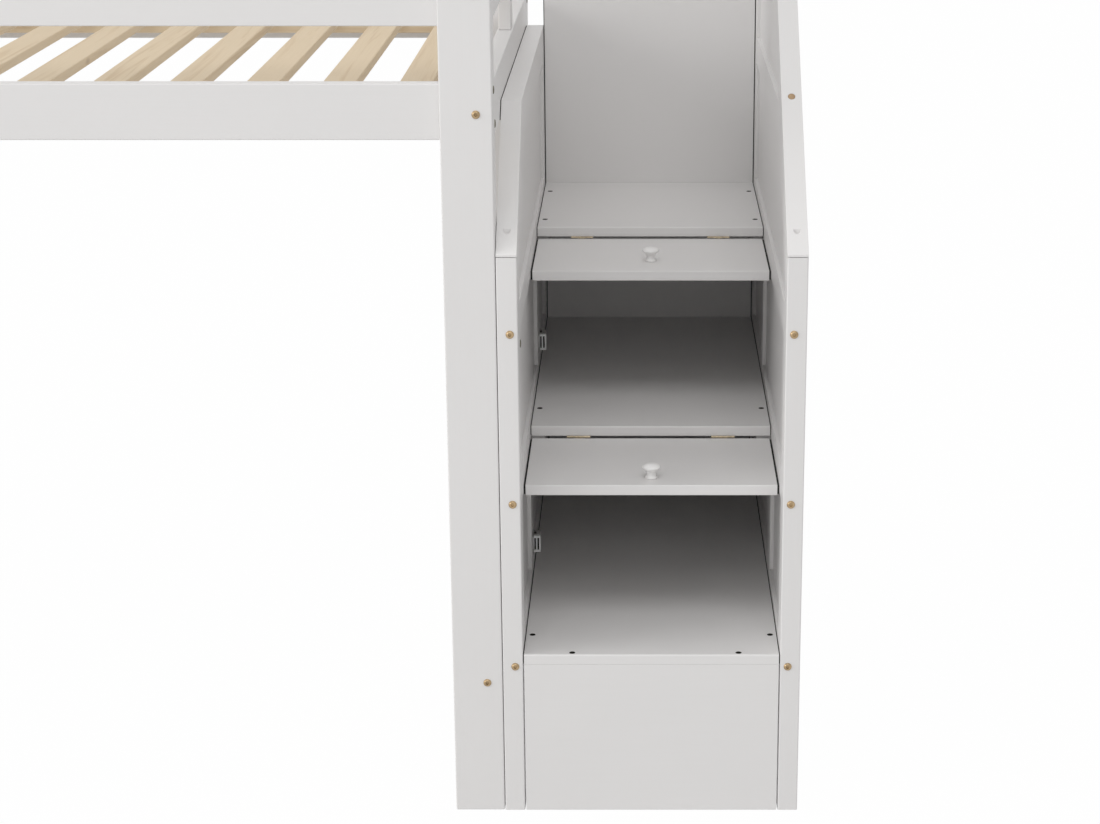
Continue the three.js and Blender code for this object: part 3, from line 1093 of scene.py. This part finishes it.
@dataclass
class StairSizes:
    """The stair's shared sizes, on its own axes: X from its middle, Y from its front edge."""

    frame_width: float = 0.057
    seam_gap: float = 0.0004
    seam_line: float = 0.0008
    set_back: float = 0.006
    tongue: float = 0.004
    foot_rail: float = 0.060
    rail_below_tread: float = 0.028
    rail_height: float = 0.046
    slope_start: float = 0.862
    slope_rise: float = 0.9
    stile_before_door: float = 0.015
    top_corner: float = 0.005
    hole_y: float = 0.0328
    plug_y: float = 0.211
    panel_side_gap: float = 0.0019
    panel_rebate: float = 0.008
    cleat: float = 0.022
    cleat_front: float = 0.024
    cleat_back_gap: float = 0.0003

    def __post_init__(self) -> None:
        """Reads the boards that the other sizes follow from."""
        treads = [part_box(f"tread_{level}") for level in (1, 2, 3)]
        self.middle_x = (treads[0][0].x + treads[0][1].x) / 2
        self.front_y = treads[0][0].y
        self.tread_tops = [high.z for _, high in treads]
        self.tread_fronts = [low.y - self.front_y for low, _ in treads]
        self.thickness = treads[0][1].z - treads[0][0].z
        self.rise = self.tread_tops[1] - self.tread_tops[0]
        post_low, post_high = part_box("right_stair_post")
        self.wall_x = (post_low.x - self.middle_x, post_high.x - self.middle_x)
        self.seam = post_high.z
        self.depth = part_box("right_side_wall")[1].y - self.front_y
        self.back_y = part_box("back_panel")[0].y - self.front_y
        self.start = self.frame_width + self.seam_gap
        inner = self.frame_width - self.slope_inner(self.slope_start)
        self.bend = self.slope_height(inner)

    def at(self, x: float, y: float, z: float) -> Vector:
        """Returns a point of the stair's own axes in the part's frame."""
        return Vector((self.middle_x + x, self.front_y + y, z))

    def rail_feet(self) -> list[float]:
        """Returns where the wall rails' lower edges stand."""
        return [level * self.rise - self.rail_below_tread for level in (1, 2, 3, 4)]

    def door_stile(self, level: int) -> float:
        """Returns where the stile beside a tread's door starts, along Y."""
        return self.tread_fronts[level] - self.stile_before_door

    def slope_height(self, y: float) -> float:
        """Returns the height of the sloped faces at a depth."""
        return self.slope_start + self.slope_rise * y

    def slope_depth(self, z: float) -> float:
        """Returns the depth of the sloped faces at a height."""
        return (z - self.slope_start) / self.slope_rise

    def on_slope(self, side: Side, y: float) -> Matrix:
        """Returns the shift to the middle of a wall's sloped face at a depth."""
        middle = side.value * (self.wall_x[0] + self.wall_x[1]) / 2
        return Matrix.Translation(self.at(middle, y, self.slope_height(y)))

    def slope_turn(self) -> Matrix:
        """Returns the turn that takes +Z to the way that the sloped face looks."""
        return Vector((0.0, -self.slope_rise, 1.0)).to_track_quat("Z", "Y").to_matrix().to_4x4()

    def slope_inner(self, z: float) -> float:
        """Returns how far back the sloped stile's inner edge stands at a height."""
        across = self.frame_width * math.hypot(1.0, self.slope_rise) / self.slope_rise
        return max(self.frame_width, self.slope_depth(z) + across)


@dataclass(frozen=True)
class EndSeals:
    """Black strips of painted shade in the gaps between the boards' ends and the side walls."""

    name: str
    sizes: StairSizes
    set_in: float = 0.0014
    bite: float = 0.0001
    clearance: float = 0.0003

    def build(self, boards: Sequence[str], body: str = FRAME_BODY) -> None:
        """Makes the strips at both ends of some boards.

        Args:
            boards: the boards' node names.
            body: the body that the strips move with.
        """
        work = Workpiece(self.name)
        for node in boards:
            low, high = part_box(node)
            for side, end in ((Side.LEFT, low.x), (Side.RIGHT, high.x)):
                self.strip(work, side, end, (low.y, high.y), (low.z, high.z))
        work.deliver(GAP_SHADE_BLACK, body=body)

    def strip(self, work: Workpiece, side: Side, end: float, y: Reach, z: Reach) -> None:
        """Adds one strip, set in a little from the board's faces.

        Args:
            work: the workpiece that takes it.
            side: the side of the stair.
            end: where the board ends along X.
            y: the board's reach along Y.
            z: the board's reach along Z.
        """
        wall = self.sizes.middle_x + side.value * (self.sizes.wall_x[0] - self.clearance)
        low_x, high_x = sorted((end - side.value * self.bite, wall))
        low = (low_x, y[0] + self.set_in, z[0] + self.set_in)
        high = (high_x, y[1] - self.set_in, z[1] - self.set_in)
        work.block(low, high, 0.0)


@dataclass
class SideWall:
    """One framed side wall: stiles, rails, the sloped stile, set-back panels and cleats."""

    side: Side
    sizes: StairSizes

    def __post_init__(self) -> None:
        """Reads how high this wall stands and how far it reaches."""
        self.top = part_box(f"{self.side.word}_side_wall")[1].z
        self.faces = sorted(self.side.value * x for x in self.sizes.wall_x)
        self.back = self.sizes.depth - self.sizes.frame_width

    def saw(
        self, word: str, outlines: Sequence[Outline], set_back: float = 0.0, radius: float = 0.0
    ) -> Workpiece:
        """Saws one of the wall's pieces.

        Args:
            word: the end of its name.
            outlines: the outlines of its boards, on the stair's axes.
            set_back: how far its faces stand back from the wall's.
            radius: the edges' rounding.

        Returns:
            The workpiece.
        """
        s = self.sizes
        work = Workpiece(f"{self.side.word}_wall_{word}")
        x = (s.middle_x + self.faces[0] + set_back, s.middle_x + self.faces[1] - set_back)
        for outline in outlines:
            work.slab([(s.front_y + y, z) for y, z in outline], x, radius)
        return work

    @staticmethod
    def oblong(y: Reach, z: Reach) -> Outline:
        """Returns a rectangle's corners."""
        return [(y[0], z[0]), (y[1], z[0]), (y[1], z[1]), (y[0], z[1])]

    def wedge(self, foot: float, head: float, tongue: float = 0.0) -> Outline:
        """Returns a board's corners from the sloped stile to the rear one.

        Args:
            foot: its lower edge.
            head: its upper edge.
            tongue: how far it reaches into both stiles.

        Returns:
            The corners.
        """
        near = [(self.sizes.slope_inner(z) - tongue, z) for z in (foot, head)]
        far = self.back + tongue
        return [near[0], (far, foot), (far, head), near[1]]

    def rail_outlines(self) -> list[Outline]:
        """Returns the outlines of the foot rail and of the rails under each tread."""
        s = self.sizes
        *straight, foot = s.rail_feet()
        reaches = [(0.0, s.foot_rail)] + [(low, low + s.rail_height) for low in straight]
        outlines = [self.oblong((s.start, self.back), reach) for reach in reaches]
        head = foot + s.rail_height
        if self.top - s.frame_width < head:
            return outlines + [self.wedge(foot, self.top)]
        return outlines + [self.wedge(foot, head), self.wedge(self.top - s.frame_width, self.top)]

    def stile_outlines(self) -> list[Outline]:
        """Returns the outlines of the upright stiles."""
        s = self.sizes
        feet = s.rail_feet()
        outlines = [self.oblong((self.back, s.depth), (0.0, self.top))]
        for level in (1, 2):
            front = s.door_stile(level)
            low, high = feet[level - 1] + s.rail_height, feet[level]
            outlines.append(self.oblong((front, front + s.frame_width), (low, high)))
        return outlines

    def slope_outline(self) -> Outline:
        """Returns the outline of the sloped stile with its softened top corner."""
        s = self.sizes
        corner = Vector((s.slope_depth(self.top), self.top))
        before = corner - Vector((1.0, s.slope_rise)).normalized() * s.top_corner
        after = corner + Vector((s.top_corner, 0.0))
        turn = (before + after) / 4 + corner / 2
        seam = s.seam + s.seam_line
        return [
            (0.0, seam),
            (s.start, seam),
            (s.start, s.bend),
            (s.slope_inner(self.top), self.top),
            tuple(after),
            tuple(turn),
            tuple(before),
            (0.0, s.slope_start),
        ]

    def panel_outlines(self) -> list[Outline]:
        """Returns the outlines of the set-back panels, each let into its frame by a tongue."""
        s, t = self.sizes, self.sizes.tongue
        feet = s.rail_feet()
        heads = [foot + s.rail_height for foot in feet]
        far = self.back + t
        outlines = [self.oblong((s.start, far), (s.foot_rail - t, feet[0] + t))]
        for level in (1, 2):
            front = s.door_stile(level)
            z = (heads[level - 1] - t, feet[level] + t)
            outlines.append(self.oblong((s.start, front + t), z))
            outlines.append(self.oblong((front + s.frame_width - t, far), z))
        foot, head = heads[2] - t, feet[3] + t
        outlines.append([(s.start, foot), *self.wedge(foot, head, t)[1:], (s.start, s.bend + t)])
        head = self.top - s.frame_width + t
        if head > heads[3]:
            outlines.append(self.wedge(heads[3] - t, head, t))
        return outlines

    def slope_bores(self) -> list[Bore]:
        """Returns the cuts in the sloped stile.

        Returns:
            A level hole that takes only its lower half from the slope, and on the right the
            plug's hole, square to the slope.
        """
        s = self.sizes
        place = s.on_slope(self.side, s.hole_y) @ Axis.Y.turn(-1.0)
        bores = [Bore(place, PLUG_BORE_RADIUS, SLOPE_HOLE_DEPTH, SLOPE_HOLE_ABOVE)]
        if self.side is Side.RIGHT:
            plug = s.on_slope(self.side, s.plug_y) @ s.slope_turn()
            bores.append(Bore(plug, PLUG_BORE_RADIUS, PLUG_BORE_DEPTH))
        return bores

    def build(self) -> None:
        """Makes the wall's pieces and its front post."""
        nodes = [f"{self.side.word}_side_wall"]
        upright = WhitePaint(Axis.Z)
        rails = self.saw("rails", self.rail_outlines(), radius=CRISP_RADIUS)
        rails.deliver(WhitePaint(Axis.Y), nodes)
        stiles = self.saw("stiles", self.stile_outlines(), radius=CRISP_RADIUS)
        stiles.deliver(upright, nodes)
        slope = self.saw("sloped_stile", [self.slope_outline()], radius=CRISP_RADIUS)
        slope.deliver(upright, nodes, sharp=HOLE_SHARP_ABOVE, bores=self.slope_bores())
        panels = self.saw("panels", self.panel_outlines(), self.sizes.set_back)
        panels.deliver(WhitePaint(), nodes)
        self.build_cleats(nodes)
        node = f"{self.side.word}_stair_post"
        post = Workpiece(f"finished_{node}")
        post.upright(*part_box(node), radius=BOARD_RADIUS)
        post.deliver(upright, [node])

    def build_cleats(self, nodes: Sequence[str]) -> None:
        """Makes the cleats under the treads.

        Args:
            nodes: the nodes that they help to stand for.
        """
        s = self.sizes
        work = Workpiece(f"{self.side.word}_wall_cleats")
        low_x, high_x = sorted(self.side.value * (s.wall_x[0] - reach) for reach in (0.0, s.cleat))
        for front, top in zip(s.tread_fronts, s.tread_tops):
            y, z = max(front + s.cleat_front, s.start), top - s.thickness
            high = s.at(high_x, s.back_y - s.cleat_back_gap, z)
            work.block(s.at(low_x, y, z - s.cleat), high, SLAT_RADIUS)
        work.deliver(WhitePaint(Axis.Y), nodes)


@dataclass
class Cupboard:
    """One cupboard's door with its knob, hinges and catch."""

    label: str
    sizes: StairSizes
    knob_profile: Profile = (
        (0.0, 0.0),
        (0.0086, 0.0),
        (0.0091, 0.0004),
        (0.0092, 0.0014),
        (0.0089, 0.0023),
        (0.0080, 0.0030),
        (0.0073, 0.0039),
        (0.0070, 0.0056),
        (0.0070, 0.0080),
        (0.0072, 0.0096),
        (0.0080, 0.0112),
        (0.0100, 0.0133),
        (0.0124, 0.0152),
        (0.0134, 0.0164),
        (0.0136, 0.0174),
        (0.0132, 0.0187),
        (0.0118, 0.0202),
        (0.0092, 0.0216),
        (0.0058, 0.0226),
        (0.0028, 0.02295),
        (0.0, 0.0230),
    )
    door_noses: tuple[Nose, ...] = (Nose(-1, 1, 0.0018), Nose(-1, -1, 0.0010))
    end_trim: float = 0.0003
    hinge_radius: float = 0.0016
    hinge_leaf: float = 0.001
    hinge_leaf_edge: tuple[float, int] = (0.0002, 2)
    hinge_pin: float = 0.0008
    hinge_pin_short: float = 0.002
    hinge_bore: float = 0.0011
    hinge_play: float = 0.0002
    hinge_screw_inset: float = 0.006
    barrel_edge: float = 0.0002
    knuckle: float = 0.01233
    knuckle_gap: float = 0.0004
    leaf_web: float = 0.0011
    catch_edge: tuple[float, int] = (0.0004, 2)
    catch_play: float = 0.0001
    catch_standoff: float = 0.002
    catch_ribs: tuple[float, ...] = (0.0008, 0.0022, 0.0024)
    catch_slot: float = 0.0028
    catch_rim: float = 0.0034
    catch_height: float = 0.0278
    catch_slot_depth: float = 0.011
    catch_shade_insert_back: float = 0.003
    catch_base_back: float = 0.004
    catch_ear_back: float = 0.006
    catch_ear: float = 0.003
    catch_screw_inset: float = 0.0024

    @property
    def body(self) -> str:
        """The body that the door moves with."""
        return f"{self.label}_door_body"

    def build(self) -> None:
        """Makes the cupboard's pieces."""
        node = f"{self.label}_door"
        low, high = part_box(node)
        trim = Vector((self.end_trim, 0.0, 0.0))
        door = Workpiece(f"finished_{node}")
        door.nosed_board(low + trim, high - trim, self.door_noses)
        door.deliver(WhitePaint(Axis.X), [node], self.body)
        # Black strips of painted shade in the gaps at the door's ends.
        shade_strips = EndSeals(f"{node}_end_seals", self.sizes, bite=2 * self.end_trim)
        shade_strips.build([node], self.body)
        self.build_knob()
        for side in Side:
            self.build_hinge(side)
        self.build_catch()

    def build_knob(self) -> None:
        """Makes the turned knob."""
        node = f"{self.label}_knob"
        low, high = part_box(node)
        foot = Vector(((low.x + high.x) / 2, (low.y + high.y) / 2, low.z))
        work = Workpiece(f"turned_{node}")
        work.turn(self.knob_profile, Matrix.Translation(foot), KNOB_SIDES)
        work.deliver(LIT_KNOB_PAINT, [node], self.body, sharp=KNOB_SHARP_ABOVE)

    def build_hinge(self, side: Side) -> None:
        """Makes the two leaves of a butt hinge with their knuckles, pin and screws.

        Args:
            side: which of the door's two hinges.
        """
        stem = f"{self.label}_{side.word}_hinge"
        fixed_node, door_node = f"{stem}_fixed_leaf", f"{stem}_door_leaf"
        joint = next(j for j in frame["joints"] if j["name"] == f"{self.label}_door_hinge")
        low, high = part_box(fixed_node)
        centre = Vector(((low.x + high.x) / 2, *joint["pos_m"][1:]))
        knuckle, leaf, radius = self.knuckle, self.hinge_leaf, self.hinge_radius
        under = high.z - leaf
        back = centre.y + radius
        fixed = Workpiece(f"plated_{fixed_node}")
        fixed.block((low.x, back + self.hinge_play, under), high, *self.hinge_leaf_edge)
        for x in (centre.x - knuckle, centre.x + knuckle):
            near = (x - knuckle / 2, centre.y, under)
            fixed.block(near, (x + knuckle / 2, back + 2 * self.hinge_play, high.z), 0.0)
            self.barrel(fixed, Vector((x, centre.y, centre.z)), knuckle, radius)
            spot = Matrix.Translation((x, high.y - self.hinge_screw_inset, under))
            fixed.sunk_head(HINGE_SCREW_RIM, SMALL_CROSS, spot @ Axis.Z.turn(-1.0))
        self.barrel(fixed, centre, 3 * knuckle - self.hinge_pin_short, self.hinge_pin)
        fixed.deliver(HINGE_BRASS, [fixed_node])
        low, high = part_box(door_node)
        back = low.y + leaf
        top = centre.z - radius - self.leaf_web
        half = knuckle / 2 - self.knuckle_gap
        door = Workpiece(f"plated_{door_node}")
        door.block(low, (high.x, back, top), *self.hinge_leaf_edge)
        near = (centre.x - half, low.y, top - self.hinge_play)
        door.block(near, (centre.x + half, back, centre.z - self.hinge_bore), 0.0)
        self.barrel(door, centre, 2 * half, radius, self.hinge_bore)
        door.deliver(HINGE_BRASS, [door_node], self.body)

    def barrel(
        self, work: Workpiece, centre: Vector, length: float, radius: float, bore: float = 0.0
    ) -> None:
        """Adds a knuckle or pin that lies along X, bored through if a bore is given.

        Args:
            work: the workpiece that takes it.
            centre: its middle.
            length: its length.
            radius: its outer radius.
            bore: its bore's radius, or 0 for a solid one.
        """
        half, edge = length / 2, min(self.barrel_edge, radius / 4)
        profile = [
            (bore, -half),
            (radius - edge, -half),
            (radius, edge - half),
            (radius, half - edge),
            (radius - edge, half),
            (bore, half),
        ]
        if bore:
            profile.append((bore, -half))
        work.turn(profile, Matrix.Translation(centre) @ Axis.X.turn(), BARREL_SIDES)

    def build_catch(self) -> None:
        """Makes the catch: a slotted case on a base, near-black inserts of painted shade in its
        slots, and an ear on top with its screw.
        """
        node = f"{self.label}_catch"
        low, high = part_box(node)
        soft, play = self.catch_edge, self.catch_play
        left, top = low.x + self.catch_standoff, low.z + self.catch_height
        floor, head = low.z + self.catch_rim, top - self.catch_rim
        before, behind = low.y - self.catch_slot_depth, low.y + self.catch_slot_depth
        case = Workpiece(f"moulded_{node}_case")
        case.block((left, low.y, low.z), (high.x, high.y, top), *soft)
        # Near-black inserts in the slots: painted shade for the slots' depths.
        slot_shade_inserts = Workpiece(f"{node}_spring")
        slots = []
        x = left + self.catch_ribs[0]
        for rib in self.catch_ribs[1:]:
            end = x + self.catch_slot
            slots.append(Slot((x, before, floor), (end, behind, head)))
            near = (x + play, low.y + self.catch_shade_insert_back, floor + play)
            slot_shade_inserts.block(near, (end - play, behind, head - play), *soft)
            x = end + rib
        case.deliver(WHITE_PLASTIC, [node], bores=slots)
        slot_shade_inserts.deliver(SLOT_SHADE_BLACK)
        base = Workpiece(f"moulded_{node}_base")
        near = (low.x, low.y + self.catch_base_back, floor)
        base.block(near, (left + self.catch_ribs[0] / 2, high.y - 2 * play, head), *soft)
        base.deliver(WHITE_PLASTIC, [node])
        front = low.y + self.catch_ear_back
        far = (high.x - play, front + self.catch_ear, high.z)
        ear = Workpiece(f"{node}_ear")
        ear.block((left + play, front, head), far, *soft)
        ear.deliver(DULL_STEEL, [node])
        screw = FastenerRow(f"{node}_screw", SMALL_SCREW_RIM, SMALL_CROSS, SCREW_SHADE_BLACK)
        spot = Vector((left + self.catch_screw_inset, front, (top + high.z) / 2))
        screw.drive(spot, Axis.Y.turn(-1.0))
        screw.deliver()


@dataclass
class Stair:
    """The storage stair at the bed's right end."""

    sizes: StairSizes = field(default_factory=StairSizes)
    tread_nose: float = 0.0024
    joint_nose: float = 0.0008
    shade_strip_depth: float = 0.006
    strip_play: float = 0.0001
    strip_below: float = 0.0012
    post_bolt_x: float = 0.2025
    post_bolt_heights: tuple[float, ...] = (0.2348, 0.4898, 0.7459)
    wall_bolt: Reach = (0.054, 0.718)
    tread_screws: tuple[tuple[Reach, ...], ...] = (
        ((0.180, 0.078),),
        ((0.180, 0.424),),
        ((0.179, 0.696), (0.179, 0.933)),
    )
    nose_screws: tuple[Reach, ...] = ((-0.118, 0.008), (0.1295, 0.008))

    def build(self) -> None:
        """Makes every piece of the stair."""
        self.build_boards()
        self.build_back_panel()
        for side in Side:
            SideWall(side, self.sizes).build()
        for label in ("lower", "upper"):
            Cupboard(label, self.sizes).build()
        self.build_fasteners()
        self.build_rail_shade_strip()

    def build_boards(self) -> None:
        """Makes the treads, drilled for their screws, and the riser under the first."""
        s = self.sizes
        finish = WhitePaint(Axis.X)
        screws = FastenerRow("tread_screws", SCREW_RIM, CROSS_SOCKET, SCREW_SHADE_BLACK)
        nodes = ["tread_1", "tread_2", "tread_3"]
        for index, (node, pairs) in enumerate(zip(nodes, self.tread_screws)):
            spots = [(side.value * x, y) for x, y in pairs for side in Side]
            noses = [Nose(-1, 1, self.tread_nose)]
            if index == 0:
                spots += self.nose_screws
                noses.append(Nose(-1, -1, self.joint_nose))
            bores = []
            for x, y in spots:
                point = s.at(x, y, s.tread_tops[index])
                screws.drive(point, Axis.Z.turn())
                place = Matrix.Translation(point)
                bores.append(Bore(place, SCREW_BORE_RADIUS, SCREW_BORE_DEPTH))
            work = Workpiece(f"finished_{node}")
            work.nosed_board(*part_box(node), noses=noses)
            work.deliver(finish, [node], bores=bores)
        screws.deliver()
        # Black strips of painted shade in the gaps at the treads' ends.
        EndSeals("tread_end_seals", s).build(nodes)
        riser = Workpiece("finished_bottom_riser")
        riser.nosed_board(*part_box("bottom_riser"), noses=(Nose(-1, 1, self.joint_nose),))
        riser.deliver(finish, ["bottom_riser"])

    def build_back_panel(self) -> None:
        """Makes the back panel, rebated so that a gap shows at both sides, and black strips of
        painted shade in those gaps.
        """
        s = self.sizes
        low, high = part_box("back_panel")
        rebate = low.y + s.panel_rebate
        inner = s.wall_x[0] - s.panel_side_gap
        panel = Workpiece("finished_back_panel")
        panel.block((s.middle_x - inner, low.y, low.z), (s.middle_x + inner, high.y, high.z))
        panel.block((low.x, rebate, low.z), high)
        panel.deliver(WhitePaint(), ["back_panel"])
        # Black strips of painted shade in the gaps at the panel's sides.
        shade_strips = EndSeals("back_panel_side_shade_strips", s)
        strips = Workpiece(shade_strips.name)
        for side in Side:
            edge = s.middle_x + side.value * inner
            depth = (rebate - self.shade_strip_depth, rebate + shade_strips.set_in)
            shade_strips.strip(strips, side, edge, depth, (low.z, high.z))
        strips.deliver(GAP_SHADE_BLACK)

    def build_fasteners(self) -> None:
        """Makes the stair's bolts and the plug in the right wall's slope."""
        s = self.sizes
        bolts = FastenerRow("stair_bolts", BOLT_RIM, HEX_SOCKET, BOLT_BRASS)
        for side in Side:
            for z in self.post_bolt_heights:
                bolts.drive(s.at(side.value * self.post_bolt_x, 0.0, z), Axis.Y.turn(-1.0))
        inside = FastenerRow("stair_side_bolt", SIDE_BOLT_RIM, HEX_SOCKET, SHADED_SIDE_BRASS)
        inside.drive(s.at(-s.wall_x[0], *self.wall_bolt), Axis.X.turn())
        bolts.deliver_bolts()
        inside.deliver_bolts()
        plugs = FastenerRow("slope_plug", PLUG_PROFILE, None, PLUG_WOOD)
        plugs.drive(s.on_slope(Side.RIGHT, s.plug_y).translation, s.slope_turn())
        plugs.deliver()

    def build_rail_shade_strip(self) -> None:
        """Makes a black strip of painted shade in the gap between the bed's end rail and the left
        side wall.

        Its front end follows the wall's slope.
        """
        s = self.sizes
        rail_low, rail_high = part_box("right_end_rail")
        wall_low, wall_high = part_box("left_side_wall")
        front = s.front_y + self.strip_below
        foot, head = rail_low.z, wall_high.z - self.strip_below
        outline = [
            (front + s.slope_depth(foot), foot),
            (rail_high.y, foot),
            (rail_high.y, head),
            (front + s.slope_depth(head), head),
        ]
        strip = Workpiece("rail_wall_shade_strip")
        strip.slab(outline, (rail_high.x + self.strip_play, wall_low.x - self.strip_play), 0.0)
        strip.deliver(GAP_SHADE_BLACK)


@dataclass(frozen=True)
class SoftLamp:
    """A soft rectangular lamp that faces a point."""

    name: str
    place: Triple
    size: Reach
    power: float
    target: Triple = (0.9, 0.0, 0.7)

    def hang(self) -> None:
        """Puts the lamp in the scene."""
        data = bpy.data.lights.new(self.name, "AREA")
        data.shape = "RECTANGLE"
        data.size, data.size_y = self.size
        data.energy = self.power
        lamp = bpy.data.objects.new(self.name, data)
        lamp.location = self.place
        way = Vector(self.target) - Vector(self.place)
        lamp.rotation_euler = way.to_track_quat("-Z", "Y").to_euler()
        bpy.context.scene.collection.objects.link(lamp)


@dataclass
class Studio:
    """The plain pale floor, the light and the camera."""

    floor_size: float = 60.0
    floor_drop: float = 0.0002
    background: Colour = (1.0, 1.0, 1.0)
    floor_colour: Colour = (0.75, 0.75, 0.75)
    floor_roughness: float = 0.9
    floor_shine: float = 0.1
    floor_white: float = 0.985
    sky_strength: float = 0.66
    lamps: tuple[SoftLamp, ...] = (
        SoftLamp("left_light", (-20.7, -6.4, 8.3), (10.0, 10.0), 1730.0),
        SoftLamp("left_front_light", (-3.6, -4.6, 2.2), (2.5, 2.5), 38.0),
        SoftLamp("right_light", (6.4, -1.6, 2.6), (2.5, 2.5), 4.0),
        SoftLamp("overhead_light", (0.95, -2.8, 4.8), (2.5, 1.6), 42.0),
    )
    camera_place: Triple = (1.00877, -3.7685, 1.6159)
    camera_down: float = 16.984
    camera_lens: float = 76.82
    camera_reach: float = 200.0
    sensor: float = 36.0
    camera_shift: Reach = (-0.0821, 0.0006)

    def build(self) -> None:
        """Makes the stage, the lamps and the camera."""
        self.build_floor()
        self.build_sky()
        for lamp in self.lamps:
            lamp.hang()
        self.build_camera()
        bpy.context.scene.view_settings.view_transform = "Standard"

    def build_floor(self) -> None:
        """Makes the floor, which shows white to the camera but keeps the bed's shadow."""
        shape = bmesh.new()
        bmesh.ops.create_grid(shape, x_segments=1, y_segments=1, size=self.floor_size / 2)
        mesh = bpy.data.meshes.new("studio_floor")
        shape.to_mesh(mesh)
        shape.free()
        floor = bpy.data.objects.new("studio_floor", mesh)
        floor.location.z = -self.floor_drop
        bpy.context.scene.collection.objects.link(floor)
        sheet = ShaderSheet("studio_floor")
        sheet.fill(
            sheet.shader,
            Base_Color=(*self.floor_colour, 1.0),
            Roughness=self.floor_roughness,
            Specular_IOR_Level=self.floor_shine,
        )
        sheet.whiten(self.background, self.floor_white)
        mesh.materials.append(sheet.material)

    def build_sky(self) -> None:
        """Makes the world: soft white light, plain white where it is seen."""
        world = bpy.data.worlds.new("studio_sky")
        bpy.context.scene.world = world
        world.use_nodes = True
        world.node_tree.nodes.clear()
        sheet = NodeSheet(world.node_tree)
        back = sheet.fill(sheet.add("ShaderNodeBackground"), Color=(*self.background, 1.0))
        strength = sheet.span(sheet.seen_plainly(), self.sky_strength, 1.0)
        sheet.join(strength, back.inputs["Strength"])
        output = sheet.add("ShaderNodeOutputWorld")
        sheet.join(back.outputs["Background"], output.inputs["Surface"])

    def build_camera(self) -> None:
        """Makes the camera at the photograph's viewing angle."""
        data = bpy.data.cameras.new("photo_camera")
        data.sensor_width = self.sensor
        data.lens = self.camera_lens
        data.shift_x, data.shift_y = self.camera_shift
        data.clip_end = self.camera_reach
        camera = bpy.data.objects.new("photo_camera", data)
        camera.location = self.camera_place
        camera.rotation_euler = (math.radians(90.0 - self.camera_down), 0.0, 0.0)
        bpy.context.scene.collection.objects.link(camera)
        bpy.context.scene.camera = camera


def main() -> None:
    """Builds the studio, the bed and the stair."""
    logging.basicConfig(level=logging.INFO, format="%(name)s: %(message)s")
    Studio().build()
    Bed().build()
    Stair().build()


if __name__ == "__main__":
    main()
